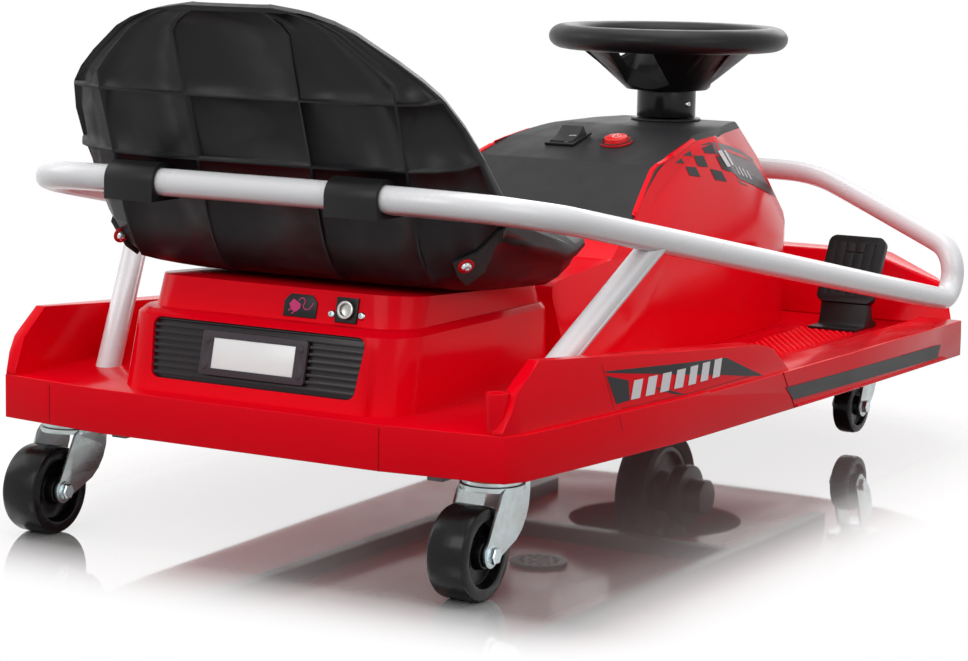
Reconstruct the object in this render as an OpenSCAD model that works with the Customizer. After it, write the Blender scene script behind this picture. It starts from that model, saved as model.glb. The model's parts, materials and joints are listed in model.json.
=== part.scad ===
// Electric drift kart: a moulded body on two rear swivel casters and a turning front drive wheel.
// Forward is +X, the driver's left is +Y and the floor is z = 0. Lengths are millimetres.

/* [Body] */
// Rear edge of the body behind the origin
rear_x = 509; // [500:1:516]
// Front edge of the body ahead of the origin
front_x = 526; // [515:1:545]
// Height of the body's underside above the floor
body_z = 103; // [98:1:110]
// Thickness of the floor moulding
floor_t = 22; // [16:1:28]
// Half width at the front corners, the widest place
body_half_w = 322; // [316:1:330]
// Half width at the rear corners
rear_half_w = 262; // [256:1:268]
// Half width of the rear face between its seams
seam_half_w = 147; // [140:1:152]
// Height of the rear band above the underside
band_h = 40; // [34:1:46]
// Height of the side skirts above the underside
skirt_h = 38; // [32:1:44]
// Width of the side skirts
skirt_w = 45; // [36:1:50]
// Height of the wings' peak above the underside
wing_h = 97; // [85:1:105]
// Width of a wing
wing_w = 38; // [34:1:42]
// Height of the front bumper above the underside
bumper_h = 92; // [80:1:100]
// Wall thickness of the hollow mouldings
wall = 4; // [3:0.5:5]

/* [Seat base] */
// Length of the seat base
base_l = 292; // [280:1:300]
// Half width of the seat base at its foot
base_half_w = 150; // [144:1:156]
// Height of the seat base's rear edge above the rear band
base_h = 98; // [92:1:104]
// Lean of the seat base's rear face in degrees
base_lean = 13; // [8:1:16]
// Corner radius of the seat base
base_r = 38; // [28:1:44]
// Width of the rear grille
grille_w = 222; // [200:1:234]
// Height of the rear grille
grille_h = 54; // [48:1:58]
// Width of the blank plate
plate_w = 86; // [70:1:96]
// Height of the blank plate
plate_h = 27; // [22:1:30]
// Outer radius of the charging socket
charge_r = 8; // [6:0.5:9]

/* [Console] */
// Height of the console's top above the floor
console_z = 343; // [335:1:350]
// Half width of the console's top
console_half_w = 100; // [90:1:106]
// Half width of the console's foot
console_foot_half_w = 133; // [126:1:140]
// Diameter of the round power button's bezel
button_d = 34; // [26:1:38]

/* [Steering] */
// Distance of the steering column ahead of the origin
column_x = 311; // [300:1:320]
// Radius of the steering column's tube
column_r = 14; // [11:0.5:16]
// Outer radius of the steering wheel
wheel_r = 130; // [115:1:140]
// Height of the steering wheel's rim centre above the floor
wheel_z = 433; // [425:1:445]
// Thickness of the rim
rim_t = 26; // [22:1:30]

/* [Drive wheel] */
// Radius of the drive wheel
drive_r = 72; // [68:1:76]
// Width of the drive tyre
drive_w = 34; // [28:1:38]
// Radius of the drive wheel's axle
drive_axle_r = 6; // [5:0.5:8]

/* [Rear casters] */
// Radius of a rear caster wheel
rear_wheel_r = 40; // [38:1:42]
// Width of a rear caster wheel
rear_wheel_w = 36; // [30:1:38]
// Distance of the rear swivels from the middle plane
rear_caster_y = 224; // [218:1:230]
// Distance of the rear swivels behind the origin
rear_swivel_x = 448; // [440:1:456]
// Trail of a rear caster
rear_trail = 38; // [32:1:40]

/* [Front casters] */
// Radius of a front caster wheel
front_wheel_r = 30; // [27:1:32]
// Width of a front caster wheel
front_wheel_w = 20; // [17:1:24]
// Gap between a front caster wheel and the floor
front_gap = 13; // [8:1:16]
// Distance of the front swivels from the middle plane
front_caster_y = 214; // [208:1:222]
// Distance of the front swivels ahead of the origin
front_swivel_x = 370; // [362:1:376]
// Trail of a front caster
front_trail = 20; // [16:1:22]

/* [Guard rail] */
// Radius of the rail and hoop tube
rail_r = 12.5; // [11:0.5:14]
// Distance of the rear bar behind the origin
rail_rear_x = 489; // [484:1:494]
// Height of the rear bar above the floor
rail_z = 329; // [322:1:336]
// Half width of the rail at its rear corners
rail_half_w = 268; // [262:1:276]
// Bend radius of the rail's rear corners
rail_bend_r = 110; // [80:1:130]
// Height of the hoop's middle above the floor
hoop_z = 282; // [270:1:295]

/* [Seat] */
// Half width of the seat's widest place
seat_half_w = 205; // [195:1:210]
// Height of the seat back's top above the floor
seat_top_z = 486; // [475:1:500]
// Thickness of the seat shell
seat_t = 4; // [3:0.5:5]

/* [Pedals] */
// Width of a pedal pad
pedal_w = 66; // [56:1:72]
// Length of a pedal pad
pedal_l = 78; // [68:1:84]
// Distance of the pedals from the middle plane
pedal_y = 195; // [188:1:202]

/* [Hidden] */
$fn = 48;
play = 0.3;
over = 1;
sliver = 0.01;

deck_z = body_z + floor_t;
band_z = body_z + band_h;
skirt_z = body_z + skirt_h;
wing_z = body_z + wing_h;
bumper_z = body_z + bumper_h;
bumper_x = 386;
skirt_x = -29;
nose_x = 438;
base_x = -rear_x + 23;
wing_step_x = base_x + base_l;

// Half outline of the body seen from above: x, y
side_plan = [[-rear_x, 0], [-rear_x, seam_half_w], [-rear_x + 14, rear_half_w],
    [-rear_x + 35, rear_half_w + 10], [-227, body_half_w - 21], [-26, body_half_w - 12],
    [103, body_half_w - 7], [bumper_x, body_half_w], [bumper_x + 40, body_half_w - 18],
    [front_x - 48, body_half_w - 64], [front_x - 14, body_half_w - 130], [front_x, body_half_w - 225],
    [front_x, 0]];

function unit(v) = v / norm(v);
function mirrored(half) = concat(half, [for (i = [len(half) - 1:-1:0]) [half[i][0], -half[i][1]]]);

// A solid skinned over rings of as many points each; an open one's rings are strips with two layers
module skin(rings, closed = false) {
    n = len(rings[0]);
    m = len(rings);
    last = closed ? m - 1 : m - 2;
    points = [for (ring = rings) each ring];
    sides = [for (i = [0:last], j = [0:n - 1], half = [0, 1])
        let (a = i * n + j, b = i * n + (j + 1) % n, c = (i + 1) % m * n + (j + 1) % n,
            d = (i + 1) % m * n + j)
        half == 0 ? [a, b, c] : [a, c, d]];
    ends = closed ? [] : [for (k = [0:n / 2 - 2])
        let (e = (m - 1) * n)
        each [[k + 1, k, n - 1 - k], [k + 1, n - 1 - k, n - 2 - k],
            [e + k, e + k + 1, e + n - 1 - k], [e + k + 1, e + n - 2 - k, e + n - 1 - k]]];
    polyhedron(points, concat(sides, ends), convexity = 8);
}

// Points of the arc that rounds corner p between a and b
function corner_arc(a, p, b, r, steps) =
    let (u = unit(a - p), w = unit(b - p), half = acos(u * w) / 2,
        centre = p + unit(u + w) * r / sin(half), from = p + u * r / tan(half) - centre,
        to = p + w * r / tan(half) - centre, sweep = 180 - 2 * half)
    [for (i = [0:steps]) centre + (sin(sweep * (1 - i / steps)) * from + sin(sweep * i / steps) * to)
        / sin(sweep)];

module body_plan(inset = 0) {
    offset(delta = -inset)
        polygon(mirrored(side_plan));
}

drive_well_r = 96;
module body_floor() {
    color("red")
    difference() {
        union() {
            translate([0, 0, body_z]) linear_extrude(floor_t) body_plan();
            translate([0, 0, body_z]) linear_extrude(band_h) intersection() {
                body_plan();
                translate([-rear_x - over, -body_half_w])
                    square([wing_step_x + rear_x + over, 2 * body_half_w]);
            }
            translate([0, 0, body_z]) linear_extrude(skirt_h) difference() {
                body_plan();
                body_plan(skirt_w);
                translate([-rear_x - over, -body_half_w])
                    square([wing_step_x + rear_x + over, 2 * body_half_w]);
                translate([bumper_x, -body_half_w]) square(2 * body_half_w);
            }
        }
        translate([column_x, 0, body_z - over]) cylinder(r = drive_well_r, h = floor_t + 2 * over);
    }
}

// The raised front end: its plan, its front view and its side view cut one block
module front_bumper() {
    color("red")
    intersection() {
        translate([0, 0, deck_z]) linear_extrude(bumper_h) difference() {
            body_plan();
            translate([-rear_x, -body_half_w]) square([rear_x + bumper_x, 2 * body_half_w]);
        }
        rotate([90, 0, 90]) linear_extrude(front_x + over)
            polygon([[-body_half_w, deck_z], [-body_half_w, skirt_z + 14], [-240, bumper_z - 17],
                [-180, bumper_z], [180, bumper_z], [240, bumper_z - 17], [body_half_w, skirt_z + 14],
                [body_half_w, deck_z]]);
        rotate([90, 0, 0]) translate([0, 0, -body_half_w]) linear_extrude(2 * body_half_w)
            polygon([[nose_x + play, deck_z], [front_x - 56, bumper_z], [front_x - 16, bumper_z],
                [front_x, bumper_z - 22], [front_x, deck_z]]);
    }
}

// A wing on the left side: drafted plan, cut by its side view
flag_r = 10;
wing_side = [[-rear_x + 12, band_z], [-rear_x + 29, wing_z - 24], [-rear_x + 63, wing_z],
    [-82, wing_z - 29], [-57, wing_z - 36], [skirt_x, skirt_z], [wing_step_x + 8, skirt_z],
    [wing_step_x, band_z]];
function wing_plan(inset) = [for (p = [[-rear_x + 13, rear_half_w - wing_w + 24, 1],
    [-rear_x + 14, rear_half_w, -1], [-rear_x + 35, rear_half_w + 10, -1],
    [-227, body_half_w - 21, -1], [-26, body_half_w - 12, -1],
    [-26, body_half_w - 12 - wing_w, 1]]) [p[0], p[1] + p[2] * inset]];
module wing() {
    color("red")
    intersection() {
        hull() {
            translate([0, 0, body_z]) linear_extrude(over) polygon(wing_plan(0));
            translate([0, 0, wing_z]) linear_extrude(over) polygon(wing_plan(10));
        }
        rotate([90, 0, 0]) translate([0, 0, -body_half_w]) linear_extrude(body_half_w)
            polygon(wing_side);
    }
}
module wing_left() { wing(); }
module wing_right() {
    difference() {
        mirror([0, 1, 0]) wing();
        flag_place() translate([0, 0, -over]) cylinder(r = flag_r + play, h = wing_h);
    }
}

base_top_z = band_z + base_h;
// Puts flat pieces on the leaning rear face: x to the right, y up the face, z out of it
module on_rear_face(up) {
    translate([base_x, 0, band_z]) rotate([0, base_lean, 0]) rotate([90, 0, -90])
        translate([0, up, 0]) children();
}

module rounded_rect(w, h, r) {
    offset(r = r) square([w - 2 * r, h - 2 * r], center = true);
}

grille_up = 39;
grille_depth = 6;
module grille_outline(inset = 0) {
    offset(delta = -inset) offset(r = 8) polygon([[-grille_w / 2 + 8, grille_h / 2 - 8],
        [grille_w / 2 - 8, grille_h / 2 - 8], [grille_w / 2 - 12, 8 - grille_h / 2],
        [12 - grille_w / 2, 8 - grille_h / 2]]);
}

panel_up = 89;
label_y = 30;
socket_y = 78;
base_fall = 3;
base_draft = 7;
base_lean_x = base_h * tan(base_lean);
shoulder_h = base_h - 28;
shoulder_r = 5;
block_set = 18;
block_x = base_x + base_lean_x + block_set;
function base_top(x) = base_top_z - (x - block_x) * tan(base_fall);
// A level slice through the seat base, a height above the band, drawn in at the back and the sides
module base_slice(h, back, draw_in) {
    x = base_x + h * tan(base_lean) + back;
    translate([0, 0, band_z + h - sliver]) linear_extrude(sliver)
        translate([(x + wing_step_x) / 2, 0])
        rounded_rect(wing_step_x - x, 2 * (base_half_w - draw_in), base_r - draw_in / 2);
}
module seat_base() {
    color("red")
    difference() {
        union() {
            hull() {
                base_slice(sliver, 0, 0);
                base_slice(shoulder_h - shoulder_r, 0, base_draft / 2);
                base_slice(shoulder_h, shoulder_r, base_draft / 2 + shoulder_r);
            }
            hull() {
                base_slice(shoulder_h - over, block_set, base_draft + shoulder_r);
                translate([block_x, 0, base_top_z]) rotate([0, base_fall, 0])
                    translate([(wing_step_x - block_x) / 2 - 2, 0, -sliver]) linear_extrude(sliver)
                    rounded_rect(wing_step_x - block_x - 4, 2 * (base_half_w - base_draft - shoulder_r), base_r);
            }
        }
        on_rear_face(grille_up) translate([0, 0, -grille_depth]) linear_extrude(20) grille_outline();
    }
}

rib_pitch = 6;
module rear_grille() {
    color("black")
    on_rear_face(grille_up) {
        translate([0, 0, -grille_depth]) linear_extrude(2) grille_outline();
        translate([0, 0, -grille_depth]) linear_extrude(grille_depth - 1) intersection() {
            grille_outline(1);
            for (y = [-grille_h / 2 + 4:rib_pitch:grille_h / 2])
                translate([-grille_w / 2, y]) square([grille_w, 2.4]);
        }
    }
}

frame_out = 3;
module plate_frame() {
    color("dimgray")
    on_rear_face(grille_up) translate([0, 0, -over]) {
        linear_extrude(frame_out) difference() {
            rounded_rect(plate_w + 24, plate_h + 12, 3);
            square([plate_w, plate_h], center = true);
        }
        for (x = [-1, 1], y = [-1, 1])
            translate([x * (plate_w / 2 + 6), y * (plate_h / 2 - 2), frame_out]) cylinder(r = 3, h = 0.8);
    }
}

module blank_plate() {
    color("white")
    on_rear_face(grille_up) translate([0, 0, -1]) linear_extrude(2.4)
        square([plate_w, plate_h], center = true);
}

// The face of the block above the shoulder, where the charging label and socket are
module on_block_face() {
    on_rear_face(panel_up) translate([0, 0, -block_set * cos(base_lean)]) children();
}
module charge_panel() {
    color("black") {
        on_block_face() translate([label_y, 0, sliver]) linear_extrude(1.2)
            polygon([[-17, -10], [17, -10], [17, 4], [11, 10], [-11, 10], [-17, 4]]);
        on_block_face() translate([socket_y, 0, sliver]) linear_extrude(2) difference() {
            square(22, center = true);
            circle(r = charge_r);
        }
    }
}

socket_bore_r = 5.5;
module charge_socket() {
    color("dimgray")
    on_block_face() translate([socket_y, 0, sliver]) difference() {
        cylinder(r = charge_r - sliver, h = 5);
        translate([0, 0, 1]) cylinder(r = socket_bore_r, h = 5);
    }
}

flag_bore_r = 6;
flag_h = 34;
flag_foot = 10;
module flag_place() {
    translate([-rear_x + 24, -rear_half_w + 14, band_z]) children();
}
module flag_socket() {
    color("red")
    flag_place() difference() {
        cylinder(r = flag_r, h = flag_h);
        translate([0, 0, flag_foot]) cylinder(r = flag_bore_r, h = flag_h);
    }
}

// Console outlines: from above, from the side and from the front; the moulding is where they meet
console_low = deck_z - 30;
slope_low = [81, console_z - 28];
slope_high = [150, console_z - 11];
top_x = 216;
console_plan = [[wing_step_x, console_foot_half_w + 27], [-64, console_foot_half_w + 17],
    [slope_low[0], console_foot_half_w - 3], [top_x, console_foot_half_w], [320, console_foot_half_w - 5],
    [370, console_foot_half_w - 15], [405, console_foot_half_w - 29], [nose_x - 10, console_foot_half_w - 45],
    [nose_x, console_foot_half_w - 83]];
console_side = [[wing_step_x, console_low], [wing_step_x, console_z - 117], [-64, console_z - 107],
    slope_low, slope_high, [top_x, console_z], [350, console_z], [392, console_z - 43],
    [nose_x - 14, console_z - 128], [nose_x, console_z - 193], [nose_x, console_low]];
console_front = [[console_foot_half_w + 40, console_low], [console_foot_half_w + 32, deck_z],
    [console_foot_half_w - 1, console_z - 107], [console_half_w, console_z]];
// Slanted flat beside the column: its turn from straight ahead and its rise
nose_turn = 76;
nose_rise = 24.4;
module console_block(inset) {
    intersection() {
        translate([0, 0, inset > 0 ? deck_z - over : deck_z]) linear_extrude(console_z)
            offset(delta = -inset) polygon(mirrored(console_plan));
        rotate([90, 0, 0]) translate([0, 0, -body_half_w]) linear_extrude(2 * body_half_w)
            offset(delta = -inset) offset(r = 18) offset(delta = -18) polygon(console_side);
        rotate([90, 0, 90]) translate([0, 0, -rear_x]) linear_extrude(rear_x + front_x)
            offset(delta = -inset) offset(r = 32) offset(delta = -32)
            polygon(concat(console_front, [for (i = [len(console_front) - 1:-1:0])
                [-console_front[i][0], console_front[i][1]]]));
    }
}
module nose_cut(inset) {
    for (side = [-1, 1])
        translate([top_x, side * console_half_w, console_z - 3])
            rotate([0, 90 - nose_rise, side * nose_turn])
            translate([-body_half_w, -body_half_w, -inset]) cube(2 * body_half_w);
}
module console_moulding() {
    difference() {
        console_block(0);
        nose_cut(0);
        difference() {
            console_block(wall);
            nose_cut(wall);
        }
        translate([column_x, 0, console_z - 40]) cylinder(r = column_r + 6, h = 50);
    }
}
// Side view of the black cover: everything above this line
module cover_zone() {
    rotate([90, 0, 0]) translate([0, 0, -body_half_w]) linear_extrude(2 * body_half_w)
        polygon([[-64, console_z - 100], [10, console_z - 78], [26, console_z - 68],
            [47, console_z - 55], [118, console_z - 27], [176, console_z - 14], [266, console_z - 8],
            [372, console_z - 8], [372, console_z + over], [-64, console_z + over]]);
}
module console_shell() {
    color("red") difference() {
        console_moulding();
        cover_zone();
    }
}
module console_cover() {
    color([0.1, 0.1, 0.1]) intersection() {
        console_moulding();
        cover_zone();
    }
}

// Puts a control on the sloping top in front of the driver: x is ahead, z is up out of it
control_x = 141;
slope_deg = atan2(slope_high[1] - slope_low[1], slope_high[0] - slope_low[0]);
module on_slope(y) {
    translate([control_x, y, slope_low[1] + (control_x - slope_low[0]) * tan(slope_deg) + play / 3])
        rotate([0, -slope_deg, 0]) children();
}
module rocker_switch() {
    color("black") on_slope(29) {
        linear_extrude(3) square([42, 34], center = true);
        translate([0, 13, 3]) rotate([90, 0, 0]) linear_extrude(26)
            polygon([[-17, 0], [-17, 1.5], [-1, 2.5], [13, 9], [17, 0]]);
    }
}
module power_button() {
    color("red") on_slope(-28) {
        difference() {
            cylinder(d = button_d, h = 3);
            translate([0, 0, 1.6]) cylinder(d = button_d - 4, h = 3);
        }
        cylinder(d = button_d - 10, h = 7);
    }
}

// Seat profile seen from the side: x, height, half width, reach of the edges' wrap, its sharpness
seat_profile = [[-519, seat_top_z, 42, 2, 3], [-517, seat_top_z - 7, 82, 4, 3],
    [-512, seat_top_z - 22, 120, 7, 3], [-505, seat_top_z - 46, 154, 12, 3],
    [-493, 404, seat_half_w - 15, 20, 3], [-473, 345, seat_half_w, 42, 3.5],
    [-460, 300, seat_half_w, 66, 4], [-444, 268, seat_half_w - 4, 76, 4.5],
    [-414, base_top(-414) + 7, seat_half_w - 8, 72, 5], [-340, base_top(-340) + play, seat_half_w - 10, 62, 5.5],
    [-262, base_top(-262) + play, seat_half_w - 16, 48, 6], [-206, base_top(-206) + 24, seat_half_w - 26, 30, 5],
    [-184, base_top(-184) + 40, seat_half_w - 44, 10, 4]];
seat_rib_y = [58, 150];
seat_rib_h = 5;
// Rows down the seat: place along the profile, share of the upright ribs' height, share of a cross rib's
seat_rows = [[0, 1, 1], [0.7, 1, 1], [0.95, 1, 0], [1.5, 1, 0], [2, 1, 0], [3, 1, 0], [3.5, 1, 0],
    [3.86, 1, 0], [3.88, 1, 1], [3.92, 1, 1], [3.94, 1, 0], [4.4, 1, 0], [4.84, 1, 0], [4.86, 1, 1],
    [4.9, 1, 1], [4.92, 1, 0], [5.4, 1, 0], [6, 1, 0], [6.5, 1, 0], [7, 1, 0], [7.5, 1, 0], [8, 0, 0],
    [8.5, 0, 0], [9, 0, 0], [10, 0, 0], [10.5, 0, 0], [11, 0, 0], [11.5, 0, 0], [12, 0, 0]];
// A smooth curve through the profile's stations; the pan lies flat on the seat base
function seat_station(s) =
    let (i = min(floor(s), len(seat_profile) - 2), t = s - i, a = seat_profile[max(i - 1, 0)],
        b = seat_profile[i], c = seat_profile[i + 1], d = seat_profile[min(i + 2, len(seat_profile) - 1)],
        p = b + ((c - a) * t + (2 * a - 5 * b + 4 * c - d) * t * t + (3 * b - a - 3 * c + d) * t * t * t) / 2)
    [p[0], max(p[1], base_top(p[0]) + play), p[2], p[3], p[4]];
// Point of the shell: u runs across from -1 to 1, depth is measured into the seat
function seat_point(s, u, depth) =
    let (p = seat_station(s), a = seat_station(max(s - 0.1, 0)), b = seat_station(min(s + 0.1, 12)),
        t = unit([b[0] - a[0], b[1] - a[1]]), wrap = p[3] * pow(abs(u), p[4]) + depth,
        across = sign(u) * (1 - pow(1 - abs(u), 2)))
    [p[0] - t[1] * wrap, across * (p[2] - 0.7 * depth), p[1] + t[0] * wrap];
// Columns across a half row: u, and whether an upright rib, the rim's lip or neither stands there
function seat_columns(w) =
    let (a = 1 - sqrt(1 - min(seat_rib_y[0] / w, 0.5)), b = 1 - sqrt(1 - min(seat_rib_y[1] / w, 0.86)),
        e = min(1 / w / (1 - a), 0.02), f = min(1 / w / (1 - b), 0.02))
    [[0, 0], [a / 2, 0], [a - e, 0], [a - e / 2, 1], [a + e / 2, 1], [a + e, 0], [(2 * a + b) / 3, 0],
        [(a + 2 * b) / 3, 0], [b - f, 0], [b - f / 2, 1], [b + f / 2, 1], [b + f, 0], [(2 * b + 0.92) / 3, 0],
        [(b + 1.84) / 3, 0], [0.92, 0], [0.94, 2], [0.97, 2], [1, 2]];
function rib_depth(row, kind) = -seat_rib_h * max(kind == 2 ? 1 : kind * row[1], row[2]);
function seat_layer(row, columns, depth, ribbed = true) =
    [for (c = columns) seat_point(row[0], c[0], depth + (ribbed ? rib_depth(row, c[1]) : 0))];
function reversed(list) = [for (i = [len(list) - 1:-1:0]) list[i]];
module seat_shell() {
    color([0.08, 0.08, 0.08])
        skin([for (row = seat_rows)
            let (half = seat_columns(seat_station(row[0])[2]),
                all = concat([for (i = [len(half) - 1:-1:1]) [-half[i][0], half[i][1]]], half))
            concat(seat_layer(row, all, 0), reversed(seat_layer(row, all, seat_t, false)))]);
}

clamp_y = 115;
clamp_w = 52;
clamp_t = 4;
clamp_arm = 24.2;
module seat_clamp(side) {
    clamp_r = rail_r + play;
    color("black")
    translate([-rail_rear_x, side * clamp_y + clamp_w / 2, rail_z]) rotate([90, 0, 0])
        linear_extrude(clamp_w) difference() {
            union() {
                circle(r = clamp_r + clamp_t);
                translate([0, -clamp_r - clamp_t]) square([clamp_arm, clamp_t]);
                translate([-clamp_r - clamp_t, -clamp_r - clamp_t]) square([clamp_t + clamp_r, clamp_t + clamp_r]);
            }
            circle(r = clamp_r);
            translate([0, -clamp_r]) square([clamp_r + clamp_t, 1.6 * clamp_r]);
        }
}
module seat_clamp_left() { seat_clamp(1); }
module seat_clamp_right() { seat_clamp(-1); }

// Belt straps: each lies against the bucket's side, from its anchor over the rim's lip
belt_t = 3;
belt_rows = [for (row = seat_rows) if (row[0] >= 7 && row[0] <= 8) row];
belt_from = 12;
module belt(side) {
    color([0.05, 0.05, 0.05])
    mirror([0, side < 0 ? 1 : 0, 0])
        skin([for (row = belt_rows)
            let (half = seat_columns(seat_station(row[0])[2]),
                part = [for (i = [belt_from:len(half) - 1]) half[i]])
            concat(seat_layer(row, part, -play - belt_t), reversed(seat_layer(row, part, -play)))]);
}
module belt_left() { belt(1); }
module belt_right() { belt(-1); }

rail_front = [366, body_half_w - 14, skirt_z + 24];
function rail_at(x) =
    let (share = (x + rail_rear_x) / (rail_front[0] + rail_rear_x))
    [x, rail_half_w + (rail_front[1] - rail_half_w) * share, rail_z + (rail_front[2] - rail_z) * share];
rail_corner = [-rail_rear_x, rail_half_w, rail_z];
hoop_foot = [rail_front[0] + 22, rail_front[1] + 1, rail_front[2] - 5];
hoop_bend = [rail_front[0] + 24, rail_front[1], rail_front[2] + 51];
hoop_top = [front_x - 56, 110, hoop_z];
hoop_bend_r = 160;
half_loop = concat([[-rail_rear_x, 60, rail_z]],
    corner_arc([-rail_rear_x, 60, rail_z], rail_corner, rail_front, rail_bend_r, 8),
    corner_arc(rail_corner, hoop_foot, hoop_bend, 26, 5),
    corner_arc(hoop_foot, hoop_bend, hoop_top, 34, 5),
    corner_arc(hoop_bend, hoop_top, [hoop_top[0], 0, hoop_z], hoop_bend_r, 5));
rail_loop = concat(half_loop, [for (p = reversed(half_loop)) [p[0], -p[1], p[2]]]);
rail_sides = 16;
function loop_tangent(i) =
    let (n = len(rail_loop)) unit(rail_loop[(i + 1) % n] - rail_loop[(i + n - 1) % n]);
function loop_ring(i) =
    let (p = rail_loop[i], t = loop_tangent(i), out = unit([p[0], p[1], 0]),
        u = unit(out - (out * t) * t), w = cross(t, u))
    [for (a = [0:360 / rail_sides:359]) p + rail_r * (cos(a) * u + sin(a) * w)];
module guard_rail() {
    color("white") skin([for (i = [0:len(rail_loop) - 1]) loop_ring(i)], closed = true);
}

post_foot = [110 - rear_x, rear_half_w - 44, band_z];
post_sink = 20;
module guard_post(side) {
    top = rail_at(250 - rear_x);
    way = top - post_foot;
    reach = norm(way);
    color("white")
    mirror([0, side < 0 ? 1 : 0, 0]) difference() {
        intersection() {
            translate(post_foot) rotate([0, acos(way[2] / reach), atan2(way[1], way[0])])
                translate([0, 0, -post_sink]) cylinder(r = rail_r - 1, h = reach + post_sink);
            translate([-rear_x, 0, band_z]) cube([rear_x, body_half_w, rail_z]);
        }
        translate(rail_at(160 - rear_x)) rotate([0, 90 + atan2(rail_z - rail_front[2], rail_front[0] + rail_rear_x),
            atan2(rail_front[1] - rail_half_w, rail_front[0] + rail_rear_x)])
            cylinder(r = rail_r, h = reach);
    }
}
module guard_post_left() { guard_post(1); }
module guard_post_right() { guard_post(-1); }

frame_y = 168;
frame_t = 16;
frame_from = -rear_x + 60;
frame_to = front_x - 146;
cross_x = [-rear_x + 120, column_x - 161];
// Two square tubes under the body and two cross tubes between them
module underframe() {
    color("silver") {
        for (side = [-1, 1])
            translate([frame_from, side * frame_y - frame_t / 2, body_z - frame_t])
                cube([frame_to - frame_from, frame_t, frame_t]);
        for (x = cross_x)
            translate([x, -frame_y + frame_t / 2, body_z - frame_t])
                cube([frame_t, 2 * frame_y - frame_t, frame_t]);
    }
}

speaker_d = 60;
speaker_hole_d = 6;
module speaker_grille() {
    color("black") translate([44, 0, body_z]) mirror([0, 0, 1]) linear_extrude(4) difference() {
        circle(d = speaker_d);
        circle(d = speaker_hole_d);
        for (ring = [[10, 60], [19, 30]], a = [0:ring[1]:359])
            rotate(a) translate([ring[0], 0]) circle(d = speaker_hole_d, $fn = 16);
    }
}

collar_h = 3;
module column_collar() {
    color("black") translate([column_x, 0, console_z]) rotate_extrude()
        polygon([[column_r + 1, 0], [sleeve_r + 6, 0], [sleeve_r + 6, collar_h - 1], [sleeve_r + 5, collar_h],
            [column_r + 1, collar_h]]);
}

bowl_z = wheel_z - 56;
hub_r = 44;
grip_gap = 52;
spoke_web = 3;
// Rim, a dished bowl cut into three broad spokes, and the hub under the middle pad
module steering_wheel() {
    rim_in = wheel_r - 1.24 * rim_t;
    color([0.08, 0.08, 0.08])
    translate([column_x, 0, 0]) {
        translate([0, 0, wheel_z]) rotate_extrude()
            translate([wheel_r - 0.62 * rim_t, 0]) scale([1.24, 1]) circle(d = rim_t, $fn = 32);
        translate([0, 0, bowl_z]) difference() {
            rotate_extrude() polygon([[0, 0], [hub_r, 0], [rim_in - 4, 44], [rim_in + 6, 48], [rim_in + 6, 58],
                [rim_in - 6, 58], [hub_r + 4, 22], [hub_r - 8, 50], [0, 50]]);
            for (a = [60:120:300])
                rotate([0, 0, a]) translate([hub_r + 2, -grip_gap / 2, -over])
                    cube([wheel_r, grip_gap, wheel_z]);
        }
        for (a = [0:120:240], y = [-1, 1])
            translate([0, 0, bowl_z]) rotate([0, 0, a]) translate([0, y * grip_gap / 3 + spoke_web / 2, 0])
                rotate([90, 0, 0]) linear_extrude(spoke_web)
                polygon([[hub_r - 12, 2], [hub_r - 4, 1], [rim_in - 6, 41], [rim_in - 10, 50], [hub_r + 14, 30],
                    [hub_r - 12, 44]]);
    }
}

fork_top_z = 2 * drive_r + 14;
sleeve_r = 32;
module steering_column() {
    sleeve_z = console_z + collar_h + over;
    color("dimgray") translate([column_x, 0, 0]) {
        translate([0, 0, fork_top_z]) cylinder(r = column_r, h = bowl_z - fork_top_z);
        translate([0, 0, sleeve_z]) cylinder(r = sleeve_r, h = bowl_z - sleeve_z);
    }
}

fork_gap = 6;
fork_t = 5;
module drive_fork() {
    leg_y = drive_w / 2 + fork_gap;
    color("silver") translate([column_x, 0, 0]) {
        translate([-28, -leg_y - fork_t, fork_top_z - fork_t]) cube([56, 2 * (leg_y + fork_t), fork_t]);
        for (side = [-1, 1])
            translate([0, side * (leg_y + fork_t / 2) + fork_t / 2, drive_r]) rotate([90, 0, 0])
                linear_extrude(fork_t) difference() {
                    hull() {
                        circle(r = 20);
                        translate([-28, fork_top_z - drive_r - 1]) square([56, 1]);
                    }
                    circle(r = drive_axle_r);
                }
        translate([0, leg_y + fork_t + 8, drive_r]) rotate([90, 0, 0])
            cylinder(r = drive_axle_r, h = 2 * (leg_y + fork_t) + 8);
    }
}

tread_blocks = 20;
tread_cut = 3;
tread_rib = 3;
module drive_tyre() {
    color("black") translate([column_x, 0, drive_r]) rotate([90, 0, 0]) difference() {
        rotate_extrude() polygon([[drive_r - 20, -drive_w / 2 + 2], [drive_r - 6, -drive_w / 2],
            [drive_r, -drive_w / 2 + 7], [drive_r, drive_w / 2 - 7], [drive_r - 6, drive_w / 2],
            [drive_r - 20, drive_w / 2 - 2]]);
        for (side = [0, 1], i = [0:tread_blocks - 1])
            mirror([0, 0, side]) rotate((i + side / 2) * 360 / tread_blocks)
                translate([drive_r - tread_cut, 0, tread_rib])
                cube([tread_cut + over, tread_cut, drive_w / 2]);
    }
}
module drive_rim() {
    color("gray") translate([column_x, 0, drive_r]) rotate([90, 0, 0])
        rotate_extrude() polygon([[drive_axle_r + play, -drive_w / 2], [22, -drive_w / 2],
            [24, -6], [drive_r - 28, -6], [drive_r - 26, -drive_w / 2 + 3], [drive_r - 20, -drive_w / 2 + 3],
            [drive_r - 20, drive_w / 2 - 3], [drive_r - 26, drive_w / 2 - 3], [drive_r - 28, 6],
            [24, 6], [22, drive_w / 2], [drive_axle_r + play, drive_w / 2]]);
}
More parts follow.
